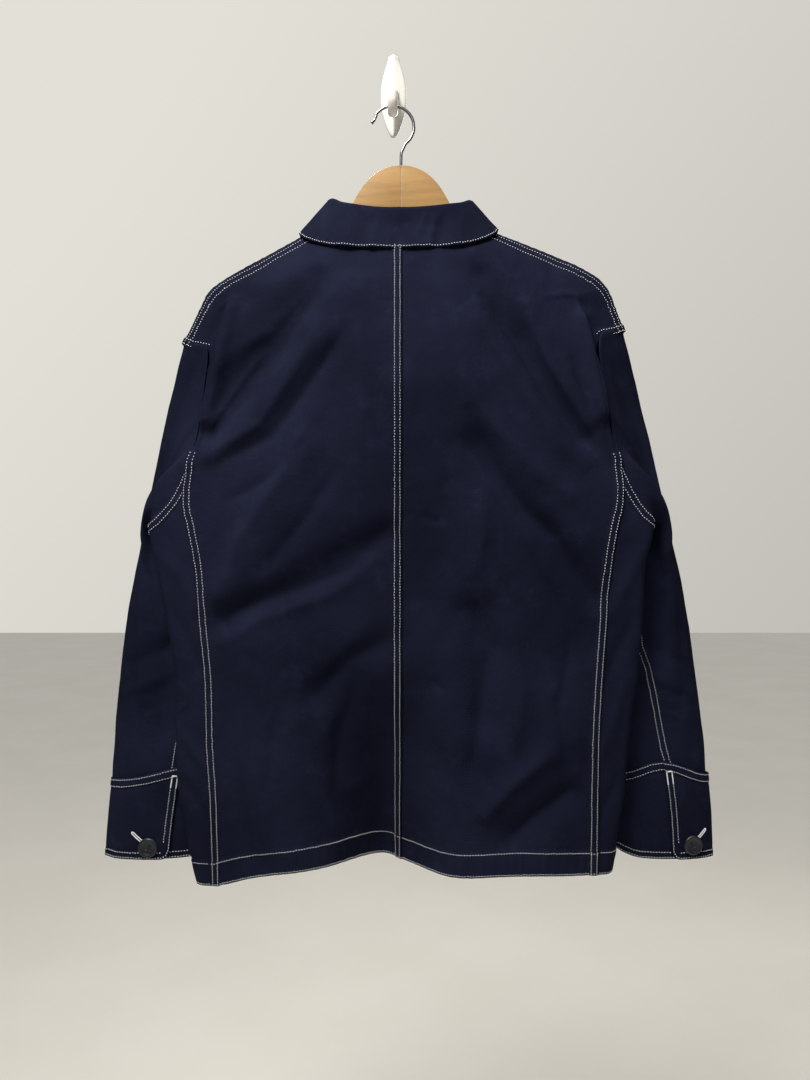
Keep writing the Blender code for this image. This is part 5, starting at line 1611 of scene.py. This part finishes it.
@dataclass
class Button:
    """A sewn button with a raised rim, a dish and four holes, in the place of its CAD node."""

    node: str
    normal: tuple[float, float, float]
    shell: bpy.types.Material
    thread: bpy.types.Material

    HEIGHT = 4.0
    HOLE_AT = 1.7
    HOLE_RADIUS = 0.85
    # reach from the axis and height above the seat, from the dish out over the rim and under
    PROFILE = ((0.0, 2.35), (5.0, 2.4), (6.4, 2.65), (7.5, 3.3), (8.3, 3.8), (9.2, 4.0), (10.1, 3.8),
               (10.7, 3.1), (11.0, 2.2), (10.9, 1.2), (10.3, 0.4), (9.4, 0.0), (0.0, 0.0))

    def build(self) -> list[bpy.types.Object]:
        """Turn the button, drill it and sew it on."""
        low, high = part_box(self.node)
        normal = Vector(self.normal).normalized()
        place_it = normal.to_track_quat("Z", "X").to_matrix().to_4x4()
        place_it.translation = (low + high) / 2.0 - normal * self.HEIGHT / 2.0 * MM
        count = len(self.PROFILE) - 1
        mesh = bpy.data.meshes.new(self.node + "_turned")
        mesh.from_pydata([(x * MM, 0.0, z * MM) for x, z in self.PROFILE],
                         [(number, number + 1) for number in range(count)], [])
        item = link(self.node + "_turned", mesh, self.shell)
        turned = item.modifiers.new("turn", "SCREW")
        turned.steps = turned.render_steps = 48
        turned.use_merge_vertices = True
        turned.merge_threshold = 0.00001
        apply_modifiers(item)
        for x, y in ((1, 1), (1, -1), (-1, 1), (-1, -1)):
            deselect()
            bpy.ops.mesh.primitive_cylinder_add(
                vertices=18, radius=self.HOLE_RADIUS * MM, depth=0.02,
                location=(x * self.HOLE_AT * MM, y * self.HOLE_AT * MM, 0.0))
            drill = bpy.context.active_object
            hole = item.modifiers.new("hole", "BOOLEAN")
            hole.operation, hole.solver, hole.object = "DIFFERENCE", "EXACT", drill
            apply_modifiers(item)
            bpy.data.objects.remove(drill, do_unlink=True)
        item.data.transform(place_it)
        item.data.shade_smooth()
        runs = []
        for x in (-self.HOLE_AT, self.HOLE_AT):
            for shift in (-0.4, 0.4):
                runs.append([place_it @ (Vector((x + shift, self.HOLE_AT * (2.0 * t - 1.0),
                                                 1.3 + 1.6 * math.sin(math.pi * t) ** 0.5)) * MM)
                             for t in np.linspace(0.0, 1.0, 7)])
        loops = [tube(f"{self.node}_thread_{number}", [point / MM for point in run], 0.5,
                      self.thread) for number, run in enumerate(runs)]
        return [item, joined(loops, f"{self.node}_thread")]


HOOK_CENTRE_Z = -61.4     # the wire hook's turn
HOOK_RADIUS = 23.5
WIRE_RADIUS = 1.7


@dataclass
class Hanger:
    """Two wooden wings with rounded edges, and the wire hook that stands on their joint."""

    wood: bpy.types.Material
    metal: bpy.types.Material

    STEM_X = 9.2
    DOME_TOP_Z = -106.2
    # from the joint: reach and height of the rounded middle
    DOME = ((0.0, -106.2), (6.0, -106.5), (13.0, -107.9), (20.5, -110.6), (27.5, -114.6),
            (34.0, -119.8), (40.0, -126.2), (45.5, -133.8), (50.5, -142.4), (57.0, -153.5))
    HALF_DEPTH = 5.0
    EDGE = 3.6
    ENDS = {"left": 203.0, "right": 220.0}
    WIRE_POINTS = 120

    def wing_outline(self, side: Side) -> list[tuple[float, float]]:
        """Outline of one wing, in X and Z."""
        end = self.ENDS[side.name]
        own = (CLOTH + 2.0) / math.cos(math.radians(30.0))
        joint = side.sign * (self.STEM_X - CENTRE_X) + 0.15
        dome = [(joint + reach, z) for reach, z in self.DOME]
        neck = neck_reach(side)
        reaches = [neck + (end - neck) * part for part in (0.0, 0.25, 0.5, 0.75, 0.95)]
        top = dome + [(reach, float(shoulder_height(side, reach))
                       - own * (1.0 + 0.8 * (reach / end) ** 6)) for reach in reaches]
        tip_z = top[-1][1]
        outer = [(end + 2.0, tip_z - 6.0), (end + 1.0, tip_z - 14.0), (end - 7.0, tip_z - 19.0)]
        bottom = [(reach, float(shoulder_height(side, reach)) - 27.0) for reach in reaches[3:0:-1]]
        bottom += [(70.0, -190.0), (42.0, -168.0), (22.0, -159.0), (joint, -157.0)]
        route = np.array([*top, *outer, *bottom])
        fine = resample(route, np.linspace(0.0, 1.0, 150))
        return [(CENTRE_X + side.sign * reach, z) for reach, z in fine]

    def wing(self, side: Side) -> bpy.types.Object:
        """One wing."""
        name = f"hanger_wing_{side.name}_wood"
        data = bpy.data.curves.new(name, "CURVE")
        data.dimensions, data.fill_mode = "2D", "BOTH"
        data.extrude = self.HALF_DEPTH * MM
        outline = [(x, z, 0.0, 1.0) for x, z in self.wing_outline(side)]
        item = as_mesh(name, data, self.wood, outline, closed=True)
        upright = Matrix.Rotation(math.pi / 2.0, 4, "X")
        upright.translation = (0.0, SHOULDER_Y * MM, 0.0)
        item.data.transform(upright)
        weld = item.modifiers.new("weld", "WELD")
        weld.merge_threshold = 0.00001
        bevel = item.modifiers.new("round", "BEVEL")
        bevel.width, bevel.segments = self.EDGE * MM, 6
        bevel.limit_method, bevel.angle_limit = "ANGLE", math.radians(55.0)
        apply_modifiers(item)
        item.data.shade_smooth()
        item.data.set_sharp_from_angle(angle=math.radians(40.0))
        return item

    def hook(self) -> bpy.types.Object:
        """The wire: a stem, a neck and three quarters of a turn."""
        stem = [(self.STEM_X, self.DOME_TOP_Z + 0.1), (self.STEM_X, -96.0),
                (self.STEM_X + 0.3, -91.0), (self.STEM_X + 2.2, -86.0)]
        turns = np.radians(np.linspace(-52.0, 140.0, 20))
        loop = [(HOOK_RADIUS * math.cos(a), HOOK_CENTRE_Z + HOOK_RADIUS * math.sin(a))
                for a in turns]
        flick = [(-19.3, -50.4), (-20.9, -53.8), (-23.6, -56.6)]
        parts = np.linspace(0.0, 1.0, self.WIRE_POINTS)
        route = [(x, SHOULDER_Y, z) for x, z in resample([*stem, *loop, *flick], parts)]
        bead = [1.0 + 0.3 * float(smooth((part - 0.975) / 0.015)) for part in parts]
        return tube("hanger_hook_wire", route, WIRE_RADIUS, self.metal, bead)


@dataclass
class WallHook:
    """The white moulded hook: a leaf-shaped plate on the wall and a J-shaped arm."""

    white: bpy.types.Material

    TOP_Z = 44.0
    BOTTOM_Z = -51.0
    ARM_RADIUS = 4.5
    ARM_WIDEN = 1.3
    CRADLE = 11.4
    # half width of the plate, from its top (0) to its bottom (1)
    LEAF = ((0.0, 6.4), (0.06, 7.2), (0.2, 11.2), (0.36, 14.4), (0.5, 15.4), (0.64, 14.3),
            (0.78, 11.2), (0.88, 8.2), (0.95, 5.4), (1.0, 2.4))
    # round its section: share of the half width, and depth from the wall
    ROOF = ((-1.0, 0.0), (-1.0, -2.4), (-0.86, -4.0), (-0.16, -9.2), (0.0, -9.9), (0.16, -9.2),
            (0.86, -4.0), (1.0, -2.4), (1.0, 0.0))
    ARM_GAP = 0.3         # between the arm and the wire that lies in it
    ARM_POINTS = 70
    VOXEL = 1.1
    WIRE_LOW_Z = HOOK_CENTRE_Z + HOOK_RADIUS - WIRE_RADIUS  # underside of the wire's turn

    def plate(self) -> bpy.types.Object:
        """The plate: a blunt leaf with a spine down the middle of its face."""
        parts = np.linspace(0.0, 1.0, 49)
        z = self.TOP_Z + (self.BOTTOM_Z - self.TOP_Z) * parts
        half = curve([part for part, _ in self.LEAF], [width for _, width in self.LEAF], parts)
        points, faces = [], []
        for reach, depth in self.ROOF:
            for width, level in zip(half, z):
                points.append((reach * width, depth * min(1.0, 0.45 + width / 18.0), level))
        rows, columns = len(self.ROOF), len(z)
        for row in range(rows):
            after = (row + 1) % rows
            for k in range(columns - 1):
                faces.append((row * columns + k, row * columns + k + 1,
                              after * columns + k + 1, after * columns + k))
        faces.append(tuple(row * columns for row in range(rows)))
        faces.append(tuple((row + 1) * columns - 1 for row in reversed(range(rows))))
        return link("wall_hook_plate", mesh_from("wall_hook_plate", points, faces), self.white)

    def build(self) -> bpy.types.Object:
        """Join plate and arm into one moulded piece whose surfaces flow together."""
        centre_z = self.WIRE_LOW_Z - self.ARM_GAP - self.ARM_RADIUS + self.CRADLE
        route = [(-3.0, 2.0), (-14.0, -8.0), (-26.0, -22.0)]
        for degrees in (205, 225, 250, 270, 290, 315, 340, 360):
            angle = math.radians(degrees)
            route.append((SHOULDER_Y - self.CRADLE * math.cos(angle),
                          centre_z + self.CRADLE * math.sin(angle)))
        route.append((SHOULDER_Y - self.CRADLE - 1.0, centre_z + 9.0))
        parts = np.linspace(0.0, 1.0, self.ARM_POINTS)
        route = [(0.0, y, z) for y, z in resample(route, parts)]
        radii = [1.0 - 0.5 * float(smooth((part - 0.965) / 0.035)) for part in parts]
        arm = tube("wall_hook_arm", route, self.ARM_RADIUS, self.white, radii)
        arm.data.transform(Matrix.Diagonal((self.ARM_WIDEN, 1.0, 1.0, 1.0)))
        whole = joined([self.plate(), arm], "wall_hook_moulding")
        blend = whole.modifiers.new("blend", "REMESH")
        blend.mode, blend.voxel_size = "VOXEL", self.VOXEL * MM
        soften = whole.modifiers.new("soften", "SMOOTH")
        soften.iterations, soften.factor = 8, 0.5
        apply_modifiers(whole)
        whole.data.shade_smooth()
        return whole


def cuff_button_normal(plan: CuffPlan) -> tuple[float, float, float]:
    """Way out of the cuff at its button."""
    angle = math.radians(plan.button_angle)
    half = float(column(SLEEVE_RINGS, "width", plan.button_z)) / 2.0
    depth = float(column(SLEEVE_RINGS, "depth", plan.button_z))
    return (plan.side.sign * math.cos(angle) / half, -math.sin(angle) / depth, 0.0)


# ------------------------------------------------------------------ materials
def rgba(colour: str) -> tuple[float, float, float, float]:
    """Linear colour of an sRGB hex code."""
    values = [int(colour[start:start + 2], 16) / 255.0 for start in (1, 3, 5)]
    linear = [v / 12.92 if v <= 0.04045 else ((v + 0.055) / 1.055) ** 2.4 for v in values]
    return (*linear, 1.0)


class Nodes:
    """A node tree that is added to; a colour is an sRGB hex code or a socket."""

    def __init__(self, tree: bpy.types.NodeTree) -> None:
        self.tree = tree

    def add(self, kind: str, inputs: dict | None = None, **settings):
        """Add one node; an input is a value, or the socket it is linked from."""
        node = self.tree.nodes.new("ShaderNode" + kind)
        for name, value in settings.items():
            setattr(node, name, value)
        for name, value in (inputs or {}).items():
            self.feed(node.inputs[name], value)
        return node

    def feed(self, socket, value) -> None:
        """Link a socket or set its value."""
        if isinstance(value, bpy.types.NodeSocket):
            self.tree.links.new(value, socket)
        else:
            socket.default_value = rgba(value) if isinstance(value, str) else value

    def ramp(self, factor, low: float, high: float, to_low=0.0, to_high=1.0,
             easing: str = "SMOOTHSTEP"):
        """Map a factor between two limits to two values."""
        return self.add("MapRange", {"Value": factor, "From Min": low, "From Max": high,
                                     "To Min": to_low, "To Max": to_high},
                        interpolation_type=easing).outputs["Result"]

    def math(self, operation: str, first, second=0.0):
        """Join two values by arithmetic."""
        return self.add("Math", {0: first, 1: second}, operation=operation).outputs["Value"]

    def blend(self, first, share: float, second, other: float = 1.0):
        """Sum of two values, each times its share."""
        if other != 1.0:
            second = self.math("MULTIPLY", second, other)
        return self.math("ADD", self.math("MULTIPLY", first, share), second)

    def wave(self, value, length: float):
        """Sine wave of a given length along a value."""
        return self.math("SINE", self.math("MULTIPLY", value, 2.0 * math.pi / length))

    def mix(self, factor, first, second):
        """Mix two colours."""
        node = self.add("Mix", data_type="RGBA")
        for name, value in (("Factor", factor), ("A", first), ("B", second)):
            self.feed(node.inputs[name], value)
        return node.outputs["Result"]


class Graph(Nodes):
    """Node tree of one new material, whose patterns follow the object or its cut cloth."""

    INPUTS = {"base_color": "Base Color", "roughness": "Roughness", "metallic": "Metallic",
              "normal": "Normal", "coat": "Coat Weight", "sheen": "Sheen Weight",
              "specular": "Specular IOR Level"}

    def __init__(self, name: str) -> None:
        self.material = bpy.data.materials.new(name)
        self.material.use_nodes = True
        super().__init__(self.material.node_tree)
        self.coordinates = self.add("TexCoord").outputs
        self.place = self.coordinates["Object"]

    def mapped(self, vector, scale: tuple, lean: float = 0.0):
        """Coordinates scaled along each axis and leant about Y."""
        return self.add("Mapping", {"Vector": vector, "Scale": scale,
                                    "Rotation": (0.0, lean, 0.0)}).outputs["Vector"]

    def noise(self, place, scale: float, detail: float = 3.0, rough: float = 0.55):
        """Noise at a place."""
        return self.add("TexNoise", {"Vector": place, "Scale": scale, "Detail": detail,
                                     "Roughness": rough}).outputs["Fac"]

    def bump(self, height, strength: float, distance: float, before=None):
        """Bump from a height, over an earlier bump when one is given."""
        inputs = {"Height": height, "Strength": strength, "Distance": distance}
        if before is not None:
            inputs["Normal"] = before
        return self.add("Bump", inputs).outputs["Normal"]

    def finish(self, **values) -> bpy.types.Material:
        """Set the shader's inputs and hand over the material."""
        shader = self.tree.nodes["Principled BSDF"]
        for name, value in values.items():
            self.feed(shader.inputs[self.INPUTS[name]], value)
        return self.material


def twill(name: str, base: str, light: str, deep: str, dust: str) -> bpy.types.Material:
    """Cotton twill: diagonal ribs, slubs, washed-out high spots and a little lint."""
    wale, yarn = 1.35, 0.62
    graph = Graph(name)
    # the UV map is in metres of cloth, and is used in millimetres
    uv = graph.mapped(graph.coordinates["UV"], (1000.0, 1000.0, 1000.0))
    along, across = graph.add("SeparateXYZ", {"Vector": uv}).outputs[:2]
    diagonal = graph.blend(along, 0.86, across, 0.5)
    diagonal = graph.blend(graph.noise(uv, 0.35, 2.0), 0.55, diagonal)
    weave = graph.blend(graph.wave(diagonal, wale), 0.7, graph.wave(across, yarn), 0.3)
    slub = graph.noise(uv, 0.9, 5.0, 0.7)
    broad = graph.noise(graph.place, 7.0)
    patch = graph.noise(graph.place, 36.0, 4.0, 0.65)
    grain = graph.noise(uv, 0.55, 3.0, 0.6)
    speck = graph.noise(uv, 0.5, 2.0, 0.5)
    colour = graph.mix(graph.ramp(broad, 0.32, 0.68, 0.0, 0.6), base, light)
    colour = graph.mix(graph.ramp(weave, -1.0, 1.0, 0.45, 0.0), colour, deep)
    colour = graph.mix(graph.ramp(patch, 0.5, 0.78, 0.0, 0.4), colour, light)
    colour = graph.mix(graph.ramp(grain, 0.3, 0.72, 0.25, 0.0), colour, deep)
    colour = graph.mix(graph.ramp(speck, 0.80, 0.84, 0.0, 0.6), colour, dust)
    fine = graph.bump(graph.blend(weave, 0.5, slub, 1.4), 0.55, 0.00022)
    wide = graph.bump(graph.noise(graph.place, 120.0, 4.0, 0.6), 0.4, 0.0014, fine)
    return graph.finish(base_color=colour, roughness=graph.ramp(slub, 0.2, 0.8, 0.74, 0.92),
                        normal=wide, sheen=0.0, specular=0.03)


def thread(name: str, colour: str, shade: str) -> bpy.types.Material:
    """Sewing thread: twisted strands, slightly fuzzy and a little uneven in colour."""
    graph = Graph(name)
    strands = graph.add("TexWave", {"Vector": graph.place, "Scale": 900.0, "Distortion": 1.5,
                                    "Detail": 1.0}, bands_direction="DIAGONAL").outputs["Fac"]
    patch = graph.ramp(graph.noise(graph.place, 160.0), 0.35, 0.65)
    return graph.finish(base_color=graph.mix(patch, colour, shade),
                        roughness=graph.ramp(strands, 0.0, 1.0, 0.6, 0.85),
                        normal=graph.bump(strands, 0.4, 0.00012), sheen=0.2, specular=0.25)


def beech(name: str, pale: str, dark: str, darkest: str) -> bpy.types.Material:
    """Varnished beech: long grain, short flecks and a satin lacquer."""
    graph = Graph(name)
    lean = 0.35
    grain = graph.noise(graph.mapped(graph.place, (6.0, 60.0, 60.0), lean), 2.6, 5.0, 0.6)
    fleck = graph.noise(graph.mapped(graph.place, (90.0, 700.0, 700.0), lean), 1.5, 2.0)
    colour = graph.mix(graph.ramp(grain, 0.35, 0.68), pale, dark)
    colour = graph.mix(graph.ramp(fleck, 0.6, 0.75, 0.0, 0.45), colour, darkest)
    return graph.finish(base_color=colour, roughness=graph.ramp(grain, 0.3, 0.7, 0.32, 0.48),
                        normal=graph.bump(fleck, 0.25, 0.0002), coat=0.25)


def worn(name: str, colour: str, shade: str, metallic: float, smoothest: float,
         roughest: float, coat: float) -> bpy.types.Material:
    """A smooth hard finish with faint mottling and fine scratches."""
    graph = Graph(name)
    mottle = graph.noise(graph.place, 55.0, 4.0)
    scratch = graph.noise(graph.mapped(graph.place, (200.0, 200.0, 1400.0)), 1.2)
    rough = graph.math("ADD", graph.ramp(mottle, 0.3, 0.7, smoothest, roughest),
                       graph.ramp(scratch, 0.62, 0.8, 0.0, 0.12))
    return graph.finish(base_color=graph.mix(graph.ramp(mottle, 0.35, 0.7), colour, shade),
                        roughness=rough, metallic=metallic, coat=coat,
                        normal=graph.bump(scratch, 0.12, 0.0001))


def plaster(name: str, colour: str, shade: str) -> bpy.types.Material:
    """Matt pale paint of the floor."""
    graph = Graph(name)
    cloudy = graph.noise(graph.place, 2.2, 4.0)
    grit = graph.noise(graph.place, 240.0)
    return graph.finish(base_color=graph.mix(graph.ramp(cloudy, 0.3, 0.7), colour, shade),
                        roughness=graph.ramp(cloudy, 0.3, 0.7, 0.8, 0.95),
                        normal=graph.bump(grit, 0.1, 0.0004))


class Looks:
    """All finishes of the scene, built once."""

    def __init__(self) -> None:
        # navy cotton twill: near (24, 25, 37) in sRGB where the photo's light is even
        self.twill = twill("navy_cotton_twill", "#171a2d", "#262a42", "#07080e", "#6f7580")
        # off-white polyester-cotton topstitching thread
        self.thread = thread("offwhite_topstitch_thread", "#f2f2f4", "#dadce2")
        # navy thread that sews the buttons on
        self.navy = thread("navy_sewing_thread", "#1c2230", "#12161f")
        # near-black navy polyester resin of the buttons
        self.resin = worn("navy_polyester_resin", "#0c0f19", "#121724", 0.0, 0.36, 0.5, 0.05)
        # beech wood with satin varnish
        self.beech = beech("varnished_beech", "#aa8650", "#96703e", "#7d5530")
        # chrome-plated steel wire
        self.chrome = worn("chromed_steel_wire", "#8f8d90", "#777679", 1.0, 0.24, 0.36, 0.0)
        # glossy white moulded plastic of the wall hook
        self.white = worn("white_moulded_plastic", "#efeee9", "#e6e4dd", 0.0, 0.16, 0.3, 0.3)
        # pale matt floor
        self.floor = plaster("pale_matt_floor", "#e2dfd7", "#dddad1")


# ------------------------------------------------------------------ stage
@dataclass
class Studio:
    """A pale floor under a pale sky, soft light from above on the left, the photo's camera."""

    looks: Looks

    EYE = (0.0135, -0.975, -0.5227)
    LENS = 27.66
    FLOOR_Z = -1.75
    SKY = "#dedbd3"
    SKY_LIGHT = 0.17
    SKY_SEEN = (0.70, 1.05)
    SKY_PALEST = (-0.55, 0.0, 0.45)
    SKY_SPREAD = 0.35
    LAMP_COLOUR = "#fffaf2"
    LIT = (0.0, -0.05, -0.35)

    def floor(self) -> None:
        """A wide plane far under the jacket."""
        bpy.ops.mesh.primitive_plane_add(size=14.0, location=(0.0, 3.0, self.FLOOR_Z))
        item = bpy.context.active_object
        item.name = item.data.name = "stage_floor"
        item.data.materials.append(self.looks.floor)
        deselect()

    def sky(self) -> None:
        """A pale surround, palest to the upper left as the photo's background is."""
        world = bpy.data.worlds.new("studio")
        world.use_nodes = True
        nodes = Nodes(world.node_tree)
        way = nodes.add("TexCoord").outputs["Generated"]
        slope = nodes.add("VectorMath", {0: way, 1: self.SKY_PALEST}, operation="DOT_PRODUCT")
        shade = nodes.ramp(slope.outputs["Value"], -self.SKY_SPREAD, self.SKY_SPREAD,
                           *self.SKY_SEEN, easing="LINEAR")
        # seen straight the surround is pale; as light it is even and weaker
        seen = nodes.add("LightPath").outputs["Is Camera Ray"]
        strength = nodes.ramp(seen, 0.0, 1.0, self.SKY_LIGHT, shade, easing="LINEAR")
        background = nodes.tree.nodes["Background"]
        nodes.feed(background.inputs["Color"], self.SKY)
        nodes.feed(background.inputs["Strength"], strength)
        bpy.context.scene.world = world

    def hang(self, data: bpy.types.Light, place: tuple, way: Vector) -> None:
        """Put a light at a place, shining one way."""
        item = bpy.data.objects.new(data.name, data)
        bpy.context.scene.collection.objects.link(item)
        item.location = place
        item.rotation_mode = "QUATERNION"
        item.rotation_quaternion = way.to_track_quat("-Z", "Y")

    def lamp(self, name: str, place: tuple, size: float, watts: float) -> None:
        """One square soft light, turned towards the jacket."""
        data = bpy.data.lights.new(name, "AREA")
        data.shape, data.size = "SQUARE", size
        data.energy, data.color = watts, rgba(self.LAMP_COLOUR)[:3]
        self.hang(data, place, Vector(self.LIT) - Vector(place))

    def overhead(self) -> None:
        """Broad soft light from above and in front, like a ceiling's."""
        data = bpy.data.lights.new("overhead", "SUN")
        data.energy, data.angle = 1.5, math.radians(24.0)
        self.hang(data, (0.0, 0.0, 0.0), Vector((0.03, 0.36, -1.0)))

    def camera(self) -> None:
        """The photo's viewpoint: level, opposite the middle of the back."""
        data = bpy.data.cameras.new("photo_view")
        data.sensor_fit, data.sensor_height, data.sensor_width = "VERTICAL", 36.0, 36.0
        data.lens = self.LENS
        data.clip_start, data.clip_end = 0.05, 60.0
        item = bpy.data.objects.new("photo_view", data)
        bpy.context.scene.collection.objects.link(item)
        item.location = self.EYE
        item.rotation_euler = (math.pi / 2.0, 0.0, 0.0)
        bpy.context.scene.camera = item

    def build(self) -> None:
        """Set the stage."""
        self.floor()
        self.sky()
        self.lamp("key", (-0.45, -0.90, 0.90), 0.5, 38.0)
        self.lamp("front_fill", (0.8, 1.7, 0.5), 1.2, 16.0)
        self.overhead()
        self.camera()
        view = bpy.context.scene.view_settings
        view.view_transform, view.look = "Standard", "None"


# ------------------------------------------------------------------ the whole scene
def declare(item: bpy.types.Object, nodes: Sequence[str]) -> None:
    """Fix a piece to the jacket's one body and hide the CAD nodes that it stands for."""
    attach(item, "root")
    if nodes:
        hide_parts(*nodes)
    LOG.info("%s: %d faces", item.name, len(item.data.polygons))


def main() -> None:
    """Build every piece in order."""
    logging.basicConfig(level=logging.INFO, format="%(message)s", stream=sys.stdout)
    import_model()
    looks = Looks()
    Studio(looks).build()
    jobs = [(f"{kind}_{side.name}", maker, side) for side in (LEFT, RIGHT)
            for kind, maker in (("back", BackPanel), ("front", FrontPanel))]
    jobs += [(f"{kind}_{plan.side.name}", maker, plan) for plan in CUFFS
             for kind, maker in (("sleeve", Sleeve), ("cuff", Cuff))]
    jobs.append(("collar", Collar, (LEFT, RIGHT)))
    for node, maker, subject in jobs:
        sewing = Sewing(f"{node}_stitches")
        piece = maker(subject, looks.twill).build(sewing)
        stitches = sewing.build(looks.thread)
        declare(piece.item, [node])
        declare(stitches, [])
    buttons = [(f"front_button_{number}", (0.0, 1.0, 0.0)) for number in range(1, 6)]
    for plan in CUFFS:
        buttons.append((f"cuff_button_{plan.side.name}", cuff_button_normal(plan)))
    for node, normal in buttons:
        button, thread = Button(node, normal, looks.resin, looks.navy).build()
        declare(button, [node])
        declare(thread, [])
    hanger = Hanger(looks.beech, looks.chrome)
    for side in (LEFT, RIGHT):
        declare(hanger.wing(side), [f"hanger_wing_{side.name}"])
    declare(hanger.hook(), ["hanger_hook"])
    declare(WallHook(looks.white).build(), ["wall_hook"])


if __name__ == "__main__":
    main()
